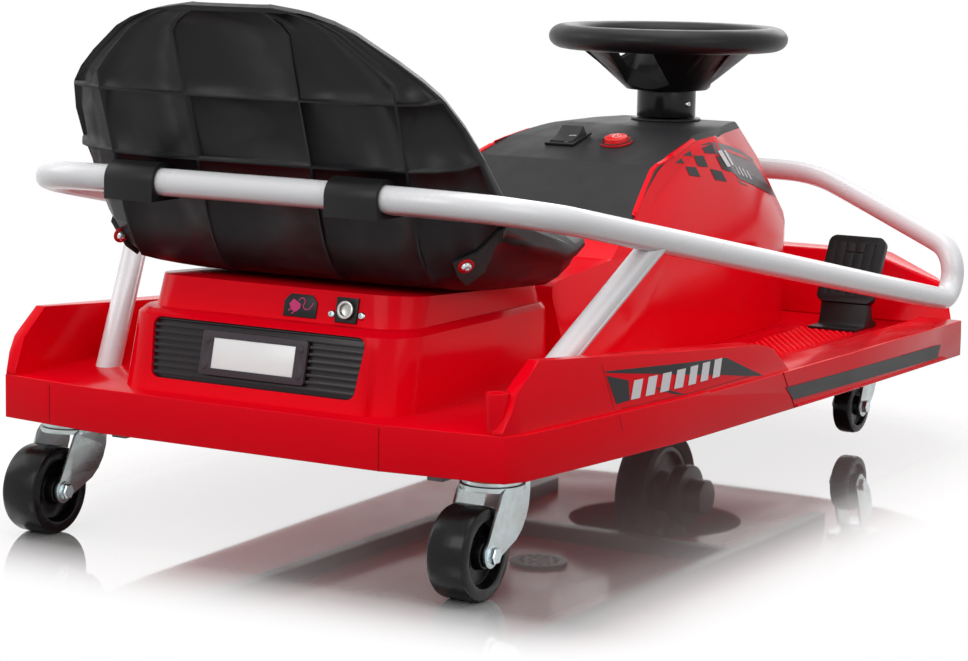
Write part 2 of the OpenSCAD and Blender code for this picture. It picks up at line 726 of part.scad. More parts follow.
module drive_motor() {
    color("dimgray") translate([column_x, -drive_w / 2 - fork_gap - fork_t, drive_r]) rotate([90, 0, 0]) {
        cylinder(r = 34, h = 16);
        translate([0, 0, 16]) cylinder(r = 20, h = 20);
    }
}

pedal_lean = 62;
pedal_x = 388;
pedal_t = 8;
pad_foot_x = pedal_x - pedal_l / 2 * cos(pedal_lean);
pad_foot_z = pedal_l / 2 * (1 - sin(pedal_lean)) + 19;
pad_r = 9;
groove = 1.5;
base_w = 54;
module pedal(side) {
    color("black") translate([0, side * pedal_y, deck_z]) {
        translate([pedal_x, 0, pedal_l / 2 + 19]) rotate([0, -pedal_lean, 0]) difference() {
            linear_extrude(pedal_t) rounded_rect(pedal_l, pedal_w, pad_r);
            translate([0, 0, pedal_t - groove]) linear_extrude(pedal_t) {
                for (y = [-2:2])
                    translate([0, y * pedal_w / 6]) square([pedal_l - 2 * pad_r, groove], center = true);
                for (x = [-1, 1])
                    translate([x * pedal_l / 4, 0]) square([groove, pedal_w / 3], center = true);
            }
        }
        translate([pad_foot_x, base_w / 2, 0]) rotate([90, 0, 0]) linear_extrude(base_w)
            polygon([[-38, 0], [22, 0], [22, 4], [12, 8], [6, pad_foot_z + 6], [-4, pad_foot_z + 2], [-8, 8],
                [-12, 3], [-38, 3]]);
    }
}
module pedal_left() { pedal(1); }
module pedal_right() { pedal(-1); }

race_h = 7;
plate_t = 3;
// Plates under the body: swivel's place, race radius and width of each pair
module caster_plates() {
    color("silver")
    for (c = [[-rear_swivel_x, rear_caster_y, 26, 60], [front_swivel_x, front_caster_y, 14, 44]])
        for (side = [-1, 1])
            translate([c[0], side * c[1], body_z - plate_t]) {
                linear_extrude(plate_t) rounded_rect(c[3] + 10, c[3], 6);
                translate([0, 0, -race_h]) cylinder(r = c[2], h = race_h);
            }
}

// A fork turning about the origin of x and y, with its axle a trail behind
fork_plate = 2.5;
bolt_r = 4;
module caster_fork(wheel_r, width, axle_z, trail, top_r) {
    top_z = body_z - plate_t - race_h - play;
    leg_y = width / 2 + 2;
    lobe = 11;
    front = top_r * 0.9;
    color("silver") {
        translate([0, 0, top_z - 4]) cylinder(r = top_r, h = 4);
        for (side = [-1, 1])
            translate([0, side * (leg_y + fork_plate / 2) + fork_plate / 2, 0]) rotate([90, 0, 0])
                linear_extrude(fork_plate) union() {
                    translate([-trail, axle_z]) circle(r = lobe);
                    polygon(concat([[-trail - lobe, axle_z], [-top_r * 0.75, top_z - 4], [-top_r * 0.6, top_z],
                        [front, top_z], [front, top_z - 8]],
                        [for (a = [0:15:60]) [front * cos(a) - trail * (1 - cos(a)) / 2,
                            top_z - 8 - (top_z - 8 - axle_z) * sin(a)]],
                        [[-trail + lobe * 0.8, axle_z - lobe * 0.6], [-trail, axle_z]]));
                }
        translate([-trail, leg_y + fork_plate + 5, axle_z]) rotate([90, 0, 0]) {
            cylinder(r = bolt_r, h = 2 * (leg_y + fork_plate + 5));
            cylinder(r = bolt_r + 3, h = 5, $fn = 6);
            translate([0, 0, 2 * (leg_y + fork_plate) + 5]) cylinder(r = bolt_r + 3, h = 5, $fn = 6);
        }
    }
}
module rear_fork(side) {
    translate([-rear_swivel_x, side * rear_caster_y, 0])
        caster_fork(rear_wheel_r, rear_wheel_w, rear_wheel_r, rear_trail, 28);
}
module front_fork(side) {
    translate([front_swivel_x, side * front_caster_y, 0])
        caster_fork(front_wheel_r, front_wheel_w, front_wheel_r + front_gap, front_trail, 18);
}
module fork_rear_left() { rear_fork(1); }
module fork_rear_right() { rear_fork(-1); }
module fork_front_left() { front_fork(1); }
module fork_front_right() { front_fork(-1); }

module caster_wheel(r, w) {
    dish = w / 4;
    color([0.05, 0.05, 0.05]) rotate([90, 0, 0]) rotate_extrude()
        polygon([[bolt_r + play, -w / 2], [r * 0.3, -w / 2], [r * 0.34, -w / 2 + dish],
            [r * 0.66, -w / 2 + dish], [r * 0.72, -w / 2], [r - 3, -w / 2], [r - 1, -w / 2 + 1],
            [r, -w / 2 + 4], [r, w / 2 - 4], [r - 1, w / 2 - 1], [r - 3, w / 2], [r * 0.72, w / 2],
            [r * 0.66, w / 2 - dish], [r * 0.34, w / 2 - dish], [r * 0.3, w / 2], [bolt_r + play, w / 2]]);
}
module rear_wheel(side) {
    translate([-rear_swivel_x - rear_trail, side * rear_caster_y, rear_wheel_r])
        caster_wheel(rear_wheel_r, rear_wheel_w);
}
module front_wheel(side) {
    translate([front_swivel_x - front_trail, side * front_caster_y, front_wheel_r + front_gap])
        caster_wheel(front_wheel_r, front_wheel_w);
}
module wheel_rear_left() { rear_wheel(1); }
module wheel_rear_right() { rear_wheel(-1); }
module wheel_front_left() { front_wheel(1); }
module wheel_front_right() { front_wheel(-1); }

body_floor();
front_bumper();
wing_left();
wing_right();
seat_base();
rear_grille();
plate_frame();
blank_plate();
charge_panel();
charge_socket();
flag_socket();
console_shell();
console_cover();
rocker_switch();
power_button();
seat_shell();
seat_clamp_left();
seat_clamp_right();
belt_left();
belt_right();
guard_rail();
guard_post_left();
guard_post_right();
underframe();
speaker_grille();
steering_wheel();
steering_column();
column_collar();
drive_fork();
drive_tyre();
drive_rim();
drive_motor();
pedal_left();
pedal_right();
caster_plates();
fork_rear_left();
fork_rear_right();
fork_front_left();
fork_front_right();
wheel_rear_left();
wheel_rear_right();
wheel_front_left();
wheel_front_right();
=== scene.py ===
"""Looks of an electric drift kart, built around its packed construction.

Each sub-assembly is a class: its sizes are dataclass fields, and its methods build the meshes and
give them their finish. Forward is +X, the driver's left is +Y, and lengths are metres, except where
a docstring says millimetres.
"""

import json
import logging
import math
from dataclasses import dataclass
from enum import Enum
from typing import Optional, Sequence, Union

import bmesh
import bpy
from mathutils import Matrix, Vector
from mathutils.bvhtree import BVHTree


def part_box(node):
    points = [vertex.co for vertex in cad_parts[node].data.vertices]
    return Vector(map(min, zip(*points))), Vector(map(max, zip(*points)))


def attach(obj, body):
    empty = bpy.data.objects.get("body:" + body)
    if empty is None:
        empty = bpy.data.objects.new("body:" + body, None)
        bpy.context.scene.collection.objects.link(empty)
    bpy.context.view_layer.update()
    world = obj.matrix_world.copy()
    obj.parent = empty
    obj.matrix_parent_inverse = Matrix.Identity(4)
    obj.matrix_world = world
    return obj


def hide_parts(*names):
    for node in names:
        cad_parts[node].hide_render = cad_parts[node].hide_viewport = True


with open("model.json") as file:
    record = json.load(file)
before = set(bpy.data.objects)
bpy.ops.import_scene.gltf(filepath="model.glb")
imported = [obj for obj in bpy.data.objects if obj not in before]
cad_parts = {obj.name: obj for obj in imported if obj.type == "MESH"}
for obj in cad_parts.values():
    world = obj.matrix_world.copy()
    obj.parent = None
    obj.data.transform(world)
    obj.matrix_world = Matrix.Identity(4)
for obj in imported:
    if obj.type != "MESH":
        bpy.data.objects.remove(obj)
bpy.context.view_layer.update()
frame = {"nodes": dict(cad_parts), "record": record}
CORNERS = ("rear_left", "rear_right", "front_left", "front_right")
JOINT_PLACES = {joint["name"]: joint["pos_m"] for joint in frame["record"]["behaviour"]["joints"]}
MM = 0.001
LOG = logging.getLogger("drift_kart")
Colour = tuple[float, float, float]
Outline = Sequence[tuple[float, float]]
Path = Sequence[tuple[float, float, float]]


class Rider(Enum):
    """Bodies of the kart that pieces ride on."""

    CHASSIS = "chassis"
    STEERING = "steering"
    DRIVE_WHEEL = "drive_wheel"


class Side(Enum):
    """Side of the kart, as the sign of Y."""

    LEFT = 1
    RIGHT = -1


class Signal:
    """A number, colour or vector on its way between two shader nodes."""

    def __init__(self, paint: "Paint", socket: bpy.types.NodeSocket) -> None:
        """Keeps the socket and the paint that it belongs to."""
        self.paint = paint
        self.socket = socket

    def __add__(self, other: "Value") -> "Signal":
        """Returns self + other."""
        return self.paint.maths("ADD", self, other)

    def __radd__(self, other: "Value") -> "Signal":
        """Returns other + self."""
        return self.paint.maths("ADD", other, self)

    def __sub__(self, other: "Value") -> "Signal":
        """Returns self - other."""
        return self.paint.maths("SUBTRACT", self, other)

    def __rsub__(self, other: "Value") -> "Signal":
        """Returns other - self."""
        return self.paint.maths("SUBTRACT", other, self)

    def __mul__(self, other: "Value") -> "Signal":
        """Returns self * other."""
        return self.paint.maths("MULTIPLY", self, other)

    def __rmul__(self, other: "Value") -> "Signal":
        """Returns other * self."""
        return self.paint.maths("MULTIPLY", other, self)

    def __truediv__(self, other: "Value") -> "Signal":
        """Returns self / other."""
        return self.paint.maths("DIVIDE", self, other)


Value = Union[float, Signal]


class Paint:
    """One material: its node tree, its Principled shader and helpers that add nodes."""

    def __init__(self, name: str) -> None:
        """Starts a material that holds a Principled shader and its output.

        Args:
            name: The material's name.
        """
        self.material = bpy.data.materials.new(name)
        self.material.use_nodes = True
        self.tree = self.material.node_tree
        self.tree.nodes.clear()
        self.shader = self.tree.nodes.new("ShaderNodeBsdfPrincipled")
        output = self.tree.nodes.new("ShaderNodeOutputMaterial")
        self.tree.links.new(self.shader.outputs[0], output.inputs["Surface"])
        self._place: Optional[Signal] = None

    def node(self, kind: str, settings: dict, sockets: dict) -> bpy.types.Node:
        """Adds a node.

        Args:
            kind: The node's type.
            settings: Its properties, set first; "stops" gives a colour ramp's (place, grey) pairs.
            sockets: The value or the signal of each input, by name or number.

        Returns:
            The node.
        """
        node = self.tree.nodes.new(kind)
        for key, value in settings.items():
            if key == "stops":
                self._set_stops(node, value)
            else:
                setattr(node, key, value)
        for key, value in sockets.items():
            if isinstance(value, Signal):
                self.tree.links.new(value.socket, node.inputs[key])
            else:
                node.inputs[key].default_value = value
        return node

    def _set_stops(self, node: bpy.types.Node, stops: Sequence[tuple[float, float]]) -> None:
        """Sets a colour ramp's stops, as greys.

        Args:
            node: The ramp.
            stops: Its (place, grey) pairs.
        """
        ramp = node.color_ramp
        while len(ramp.elements) < len(stops):
            ramp.elements.new(1.0)
        for element, (place, grey) in zip(ramp.elements, stops):
            element.position = place
            element.color = (grey, grey, grey, 1.0)

    def maths(self, operation: str, a: Value, b: Value = 0.0) -> Signal:
        """Returns the result of a Math node on a and b."""
        return Signal(self, self.node("ShaderNodeMath", {"operation": operation}, {0: a, 1: b}).outputs[0])

    def place(self) -> Signal:
        """Finds the point on the piece, through one node that all patterns share.

        Returns:
            The point, in metres in the kart's frame.
        """
        if self._place is None:
            self._place = Signal(self, self.node("ShaderNodeTexCoord", {}, {}).outputs["Object"])
        return self._place

    def part_of(self, vector: Signal, axis: str) -> Signal:
        """Returns the X, Y or Z part of a vector."""
        return Signal(self, self.node("ShaderNodeSeparateXYZ", {}, {0: vector}).outputs[axis])

    def stretched(self, scale: Colour) -> Signal:
        """Returns the point on the piece, scaled along each axis."""
        mapping = self.node("ShaderNodeMapping", {}, {"Vector": self.place(), "Scale": scale})
        return Signal(self, mapping.outputs[0])

    def noise(self, size: float, detail: float = 2.0, vector: Optional[Signal] = None) -> Signal:
        """Returns smooth noise from 0 to 1.

        Args:
            size: The size of its blobs, in metres.
            detail: How many finer layers it has.
            vector: Where it is looked up, if not at the point on the piece.

        Returns:
            The noise.
        """
        sockets = {"Vector": vector or self.place(), "Scale": 1.0 / size, "Detail": detail}
        return Signal(self, self.node("ShaderNodeTexNoise", {}, sockets).outputs[0])

    def cells(self, size: float) -> Signal:
        """Returns the distance to the nearest of scattered points, as a share of size."""
        sockets = {"Vector": self.place(), "Scale": 1.0 / size}
        return Signal(self, self.node("ShaderNodeTexVoronoi", {}, sockets).outputs["Distance"])

    def ramp(self, value: Signal, stops: Sequence[tuple[float, float]]) -> Signal:
        """Returns value sent through a colour ramp of greys."""
        return Signal(self, self.node("ShaderNodeValToRGB", {"stops": stops}, {0: value}).outputs[0])

    def mix(self, factor: Value, a: Union[Colour, Signal], b: Union[Colour, Signal]) -> Signal:
        """Returns colour a where factor is 0 and colour b where it is 1.

        Args:
            factor: The share of b.
            a: The colour at 0.
            b: The colour at 1.

        Returns:
            The mixed colour.
        """
        sockets = {0: factor}
        for index, colour in ((6, a), (7, b)):
            sockets[index] = colour if isinstance(colour, Signal) else (*colour, 1.0)
        return Signal(self, self.node("ShaderNodeMix", {"data_type": "RGBA"}, sockets).outputs[2])

    def bump(self, height: Signal, depth: float) -> None:
        """Adds a relief to the shader's normal.

        Args:
            height: The relief from 0 to 1.
            depth: How far it rises, in metres.
        """
        sockets = {"Strength": 1.0, "Distance": depth, "Height": height}
        before = self.shader.inputs["Normal"].links
        if before:
            sockets["Normal"] = Signal(self, before[0].from_socket)
        bump = self.node("ShaderNodeBump", {}, sockets)
        self.tree.links.new(bump.outputs[0], self.shader.inputs["Normal"])

    def feed(self, name: str, value: Union[Value, Colour]) -> None:
        """Gives an input of the shader a signal or a plain value.

        Args:
            name: The input.
            value: What it gets.
        """
        if isinstance(value, Signal):
            self.tree.links.new(value.socket, self.shader.inputs[name])
        else:
            self.shader.inputs[name].default_value = value


def scaled(colour: Colour, share: float) -> Colour:
    """Returns a colour made lighter or darker by a share."""
    return tuple(min(1.0, part * share) for part in colour)


@dataclass(frozen=True)
class Finish:
    """A moulded, coated or rolled surface."""

    name: str
    colour: Colour
    roughness: float
    slot: Optional[str] = None
    metallic: float = 0.0
    coat: float = 0.0
    coat_roughness: float = 0.04
    specular: float = 0.5
    drift: float = 0.04
    drift_size: float = 0.09
    scuff: float = 0.08
    streak_size: float = 0.02
    streak_stretch: Colour = (0.35, 1.0, 1.6)
    streak_stops: Outline = ((0.42, 0.0), (0.72, 1.0))
    grain_size: float = 0.0009
    grain_depth: float = 0.0
    wave_size: float = 0.012
    wave_depth: float = 0.0

    def material(self) -> bpy.types.Material:
        """Returns the finish's material, which is made once."""
        known = bpy.data.materials.get(self.name)
        return known or self._mix_paint()

    def _mix_paint(self) -> bpy.types.Material:
        """Builds the material's nodes.

        Returns:
            The material.
        """
        paint = Paint(self.name)
        paint.feed("Metallic", self.metallic)
        paint.feed("Coat Weight", self.coat)
        paint.feed("Specular IOR Level", self.specular)
        paint.feed("Coat Roughness", self.coat_roughness)
        self.tint(paint)
        self.wear(paint)
        self.relief(paint)
        return paint.material

    def tint(self, paint: Paint) -> None:
        """Gives the colour its slow drift.

        Args:
            paint: The material that is built.
        """
        cloud = paint.noise(self.drift_size, detail=3.0)
        darker, lighter = scaled(self.colour, 1 - self.drift), scaled(self.colour, 1 + self.drift)
        paint.feed("Base Color", paint.mix(cloud, darker, lighter))

    def wear(self, paint: Paint) -> None:
        """Makes the gloss uneven, with faint rubbed streaks.

        Args:
            paint: The material that is built.
        """
        streaks = paint.noise(self.streak_size, detail=4.0, vector=paint.stretched(self.streak_stretch))
        rubbed = paint.ramp(streaks, self.streak_stops)
        paint.feed("Roughness", self.roughness + self.scuff * rubbed)

    def relief(self, paint: Paint) -> None:
        """Adds the slow waves of a moulding and its fine grain.

        Args:
            paint: The material that is built.
        """
        if self.wave_depth:
            paint.bump(paint.noise(self.wave_size, detail=1.0), self.wave_depth)
        if self.grain_depth:
            paint.bump(paint.cells(self.grain_size), self.grain_depth)


@dataclass(frozen=True)
class ZincFinish(Finish):
    """Bright zinc plate with cloudy passivation."""

    cloud_size: float = 0.014
    cloud_stops: Outline = ((0.35, 0.0), (0.65, 1.0))
    warm_tint: Colour = (1.0, 0.98, 0.9)
    warm_share: float = 0.86
    line_size: float = 0.0012
    line_stretch: Colour = (1.0, 1.0, 0.06)

    def tint(self, paint: Paint) -> None:
        """Mixes a cool and a faintly yellow grey.

        Args:
            paint: The material that is built.
        """
        cloud = paint.ramp(paint.noise(self.cloud_size, detail=5.0), self.cloud_stops)
        warm = tuple(part * tint for part, tint in zip(self.colour, self.warm_tint))
        paint.feed("Base Color", paint.mix(cloud, scaled(warm, self.warm_share), self.colour))

    def relief(self, paint: Paint) -> None:
        """Adds fine rolling lines.

        Args:
            paint: The material that is built.
        """
        lines = paint.noise(self.line_size, detail=2.0, vector=paint.stretched(self.line_stretch))
        paint.bump(lines, self.grain_depth)


@dataclass(frozen=True)
class WebbingFinish(Finish):
    """Woven polyester strap."""

    rib_pitch: float = 0.0016
    rib_turns: float = 0.3
    rib_unevenness: float = 0.4

    def relief(self, paint: Paint) -> None:
        """Weaves slanted ribs across the strap.

        Args:
            paint: The material that is built.
        """
        wave = {"bands_direction": "DIAGONAL", "wave_profile": "SIN"}
        sockets = {"Vector": paint.place(), "Scale": self.rib_turns / self.rib_pitch,
                   "Distortion": self.rib_unevenness}
        ribs = Signal(paint, paint.node("ShaderNodeTexWave", wave, sockets).outputs[1])
        paint.bump(ribs, self.grain_depth)


BODY_RED = Finish("body_red_gloss", (0.8, 0.0006, 0.0095), 0.14, slot="body_red", specular=0.06, drift=0.025,
                  scuff=0.07, wave_size=0.02, wave_depth=0.00006)
TREAD_RED = Finish("deck_red_satin", (0.8, 0.002, 0.01), 0.3, slot="body_red", specular=0.1, drift=0.03)
# Dark red of the seam lines: painted shade in the creases and parting lines of the red mouldings.
SEAM_SHADE_RED = Finish("seam_red_dark", (0.26, 0.0, 0.003), 0.4, slot="body_red", specular=0.1, drift=0.1)
BUTTON_RED = Finish("button_red", (0.75, 0.006, 0.01), 0.22, slot="button_red", specular=0.3)
WASHER_RED = Finish("washer_red", (0.65, 0.006, 0.012), 0.3, slot="button_red", specular=0.3)
COVER_BLACK = Finish("cover_black_grained", (0.021, 0.0205, 0.022), 0.46, slot="cover_black", drift=0.12,
                     grain_size=0.0011, grain_depth=0.00006, specular=0.12)
SEAT_BLACK = Finish("seat_black_satin", (0.0115, 0.011, 0.0125), 0.36, slot="seat_black", drift=0.18,
                    drift_size=0.05, scuff=0.12, wave_size=0.03, wave_depth=0.0001, grain_size=0.0007,
                    grain_depth=0.00001, specular=0.2)
TRIM_BLACK = Finish("trim_black_grained", (0.009, 0.009, 0.0095), 0.36, slot="trim_black", drift=0.15,
                    grain_depth=0.00003, specular=0.22)
GRILLE_BLACK = Finish("grille_black", (0.018, 0.013, 0.016), 0.24, slot="trim_black", drift=0.15,
                      specular=0.25)
WHEEL_BLACK = Finish("wheel_black_satin", (0.009, 0.009, 0.01), 0.36, slot="wheel_black", drift=0.15,
                     grain_depth=0.00003, specular=0.2)
FRAME_GREY = Finish("plate_frame_grey", (0.05, 0.038, 0.046), 0.4, slot="frame_grey", grain_depth=0.00002,
                    specular=0.2)
MARK_GREY = Finish("mark_grey", (0.3, 0.3, 0.33), 0.4, slot="plate_white", drift=0.03)
PLATE_WHITE = Finish("plate_white", (0.78, 0.78, 0.8), 0.3, slot="plate_white", drift=0.01)
RAIL_WHITE = Finish("rail_white_coat", (0.77, 0.77, 0.79), 0.22, slot="rail_white", coat=0.2, drift=0.012,
                    wave_size=0.004, wave_depth=0.00004)
STEEL_GREY = Finish("frame_steel_paint", (0.16, 0.16, 0.17), 0.4, slot="frame_steel", drift=0.1)
COLUMN_BLACK = Finish("column_black_gloss", (0.005, 0.005, 0.006), 0.2, slot="frame_steel", drift=0.15,
                      specular=0.25)
ZINC = ZincFinish("zinc_bright", (0.5, 0.56, 0.585), 0.26, slot="zinc", metallic=1.0, scuff=0.16,
                  grain_depth=0.00001)
SOCKET_METAL = ZincFinish("socket_nickel", (0.45, 0.45, 0.46), 0.3, slot="socket_metal", metallic=1.0,
                          grain_depth=0.00001)
SCREW_STEEL = ZincFinish("screw_steel", (0.58, 0.67, 0.72), 0.24, slot="zinc", metallic=1.0,
                         grain_depth=0.00001)
CASTER_BLACK = Finish("caster_black_gloss", (0.0045, 0.0045, 0.005), 0.2, slot="caster_black", drift=0.15,
                      scuff=0.2, wave_size=0.008, wave_depth=0.00004, specular=0.2)
TYRE_RUBBER = Finish("drive_rubber", (0.02, 0.02, 0.02), 0.6, slot="drive_rubber", grain_depth=0.00005)
RIM_GREY = Finish("drive_rim_grey", (0.06, 0.06, 0.062), 0.4, slot="rim_grey", grain_depth=0.00003)
MOTOR_BLACK = Finish("motor_black", (0.03, 0.03, 0.03), 0.4, slot="motor_dark", grain_depth=0.00003)
BELT_BLACK = WebbingFinish("belt_black_weave", (0.012, 0.012, 0.012), 0.75, slot="belt_black",
                           grain_depth=0.00025)
RACE_ORANGE = Finish("race_orange", (0.75, 0.13, 0.01), 0.4, slot="zinc")
FOIL_BLACK = Finish("foil_black", (0.009, 0.008, 0.011), 0.3, slot="trim_black", drift=0.05, specular=0.2)
FOIL_GREY = Finish("foil_grey", (0.12, 0.1, 0.115), 0.32, slot="frame_grey", drift=0.05, specular=0.2)
FOIL_SILVER = Finish("foil_silver", (0.68, 0.66, 0.68), 0.35, slot="plate_white", drift=0.03)
FOIL_MAGENTA = Finish("foil_magenta", (0.6, 0.005, 0.16), 0.35, slot="button_red", drift=0.03)


@dataclass
class Workshop:
    """Turns bmeshes into pieces of the kart.

    The profiles are (radius, height) pairs from the seat up. Those of a bolt are shares of half its
    width over the corners and of its height, and those of a screw are shares of its head's diameter.
    """

    merge_distance: float = 0.01 * MM
    flat_degrees: float = 0.6
    all_smooth: float = 180.0
    bolt_sink: float = 0.1 * MM
    washer_profile: Outline = ((1.18, 0.126), (1.1, 0.18))
    hexagon_profile: Outline = ((1.0, 0.108), (1.0, 0.86), (0.84, 1.0))
    pan_profile: Outline = ((0.5, -0.06), (0.5, 0.06), (0.45, 0.17), (0.36, 0.25), (0.24, 0.29),
                            (0.19, 0.29), (0.11, 0.12))

    def piece(self, name: str, bm: bmesh.types.BMesh, finish: Finish,
              body: str = Rider.CHASSIS.value, sharp_degrees: float = 35.0) -> bpy.types.Object:
        """Makes an object of a bmesh, dresses it and lets it ride.

        Args:
            name: The piece's name.
            bm: Its mesh, which is freed.
            finish: Its finish.
            body: The CAD body that it rides on.
            sharp_degrees: Edges that bend more than this stay sharp.

        Returns:
            The piece.
        """
        mesh = bpy.data.meshes.new(name)
        bm.to_mesh(mesh)
        bm.free()
        mesh.shade_smooth()
        mesh.set_sharp_from_angle(angle=math.radians(sharp_degrees))
        mesh.materials.append(finish.material())
        piece = bpy.data.objects.new(name, mesh)
        bpy.context.scene.collection.objects.link(piece)
        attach(piece, body)
        LOG.info("piece %s on %s: %d faces", name, body, len(mesh.polygons))
        return piece

    def solid(self, name: str, bm: bmesh.types.BMesh, finish: Finish,
              body: str = Rider.CHASSIS.value) -> bpy.types.Object:
        """Makes a piece of closed solids, with their faces turned outwards.

        Args:
            name: The piece's name.
            bm: Its mesh, which is freed.
            finish: Its finish.
            body: The CAD body that it rides on.

        Returns:
            The piece.
        """
        bmesh.ops.recalc_face_normals(bm, faces=bm.faces)
        return self.piece(name, bm, finish, body)

    def moulding(self, node: str, finish: Finish, body: str = Rider.CHASSIS.value, edge: float = 0.0,
                 edge_degrees: float = 28.0, segments: int = 3) -> bpy.types.Object:
        """Makes a copy of a CAD node with rounded edges, which replaces the node.

        Args:
            node: The CAD node.
            finish: The copy's finish.
            body: The body that it rides on.
            edge: The width of the rounding on its edges, in metres.
            edge_degrees: Edges that bend more than this are rounded.
            segments: How many faces the rounding has.

        Returns:
            The copy.
        """
        bm = self.merged_copy(node)
        if edge:
            limit = math.radians(edge_degrees)
            sharp = [e for e in bm.edges if len(e.link_faces) == 2 and e.calc_face_angle(0.0) > limit]
            bmesh.ops.bevel(bm, geom=sharp, offset=edge, offset_type="OFFSET", segments=segments,
                            profile=0.5, affect="EDGES", material=-1, clamp_overlap=True)
        piece = self.piece(f"{node}_shell", bm, finish, body)
        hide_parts(node)
        return piece

    def merged_copy(self, node: str) -> bmesh.types.BMesh:
        """Returns a CAD node's mesh with its corners merged and its flats made one face each.

        Args:
            node: The CAD node.

        Returns:
            The copy, as a new bmesh.
        """
        bm = bmesh.new()
        bm.from_mesh(frame["nodes"][node].data)
        for layer in list(bm.loops.layers.uv):
            bm.loops.layers.uv.remove(layer)
        bmesh.ops.remove_doubles(bm, verts=bm.verts, dist=self.merge_distance)
        bmesh.ops.dissolve_limit(bm, angle_limit=math.radians(self.flat_degrees), verts=bm.verts,
                                 edges=bm.edges, delimit={"NORMAL"})
        return bm

    def turned(self, bm: bmesh.types.BMesh, place: Vector, way: Vector, profile: Outline,
               steps: int = 24) -> None:
        """Adds a solid of revolution, or a prism where steps is small.

        Args:
            bm: The bmesh that it is added to, which holds only closed solids.
            place: The foot of its axis.
            way: The axis.
            profile: Its (radius, height) pairs from the foot up, in metres.
            steps: How many sides it has.
        """
        turn = Matrix.Translation(place) @ way.to_track_quat("Z", "Y").to_matrix().to_4x4()
        corners = [bm.verts.new(turn @ Vector((radius, 0.0, height))) for radius, height in profile]
        edges = [bm.edges.new(pair) for pair in zip(corners, corners[1:])]
        bmesh.ops.spin(bm, geom=corners + edges, cent=place, axis=way, angle=math.tau, steps=steps,
                       use_merge=True)
        bmesh.ops.holes_fill(bm, edges=[e for e in bm.edges if e.is_boundary], sides=steps)

    def skin_rings(self, bm: bmesh.types.BMesh, rings: Sequence[Sequence[bmesh.types.BMVert]]) -> None:
        """Joins rings of as many corners into one closed solid.

        Args:
            bm: The bmesh that it is added to.
            rings: The rings, from one end to the other.
        """
        for low, high in zip(rings, rings[1:]):
            for index in range(len(low)):
                after = (index + 1) % len(low)
                bm.faces.new((low[index], low[after], high[after], high[index]))
        bm.faces.new(tuple(reversed(rings[0])))
        bm.faces.new(rings[-1])

    def hex_bolt(self, bm: bmesh.types.BMesh, place: Vector, way: Vector, across: float,
                 height: float) -> None:
        """Adds a hexagon head with a chamfered crown on a washer.

        Args:
            bm: The bmesh that it is added to.
            place: The middle of the seat that it sits on.
            way: The direction that it points.
            across: The width over its corners.
            height: The height of washer and head together.
        """
        half = across / 2
        washer = [(half * wide, height * high) for wide, high in self.washer_profile]
        hexagon = [(half * wide, height * high) for wide, high in self.hexagon_profile]
        self.turned(bm, place, way, [(washer[0][0], -self.bolt_sink), *washer])
        self.turned(bm, place, way, hexagon, steps=6)

    def pan_screw(self, bm: bmesh.types.BMesh, place: Vector, way: Vector, width: float) -> None:
        """Adds a domed screw head with a drive recess.

        Args:
            bm: The bmesh that it is added to.
            place: The middle of the seat that it sits on.
            way: The direction that it points.
            width: The head's diameter.
        """
        self.turned(bm, place, way, [(r * width, h * width) for r, h in self.pan_profile], steps=16)


SHOP = Workshop()


def mirrored(path: Path, side: Side) -> Path:
    """Returns a path given for the right flank, on the side that is asked for."""
    return [(x, -side.value * y, z) for x, y, z in path]


def arc(centre: Vector, radius: float, degrees: range, slope: float = 0.0) -> Path:
    """Returns points on a circle seen from above.

    Args:
        centre: The circle's centre.
        radius: Its radius.
        degrees: The angles of the points, from the +X direction.
        slope: How much it climbs towards +X, as a share of the way.

    Returns:
        The points, in the centre's units.
    """
    ways = [(math.cos(math.radians(d)), math.sin(math.radians(d))) for d in degrees]
    return [(centre.x + radius * ahead, centre.y + radius * left, centre.z + slope * radius * ahead)
            for ahead, left in ways]


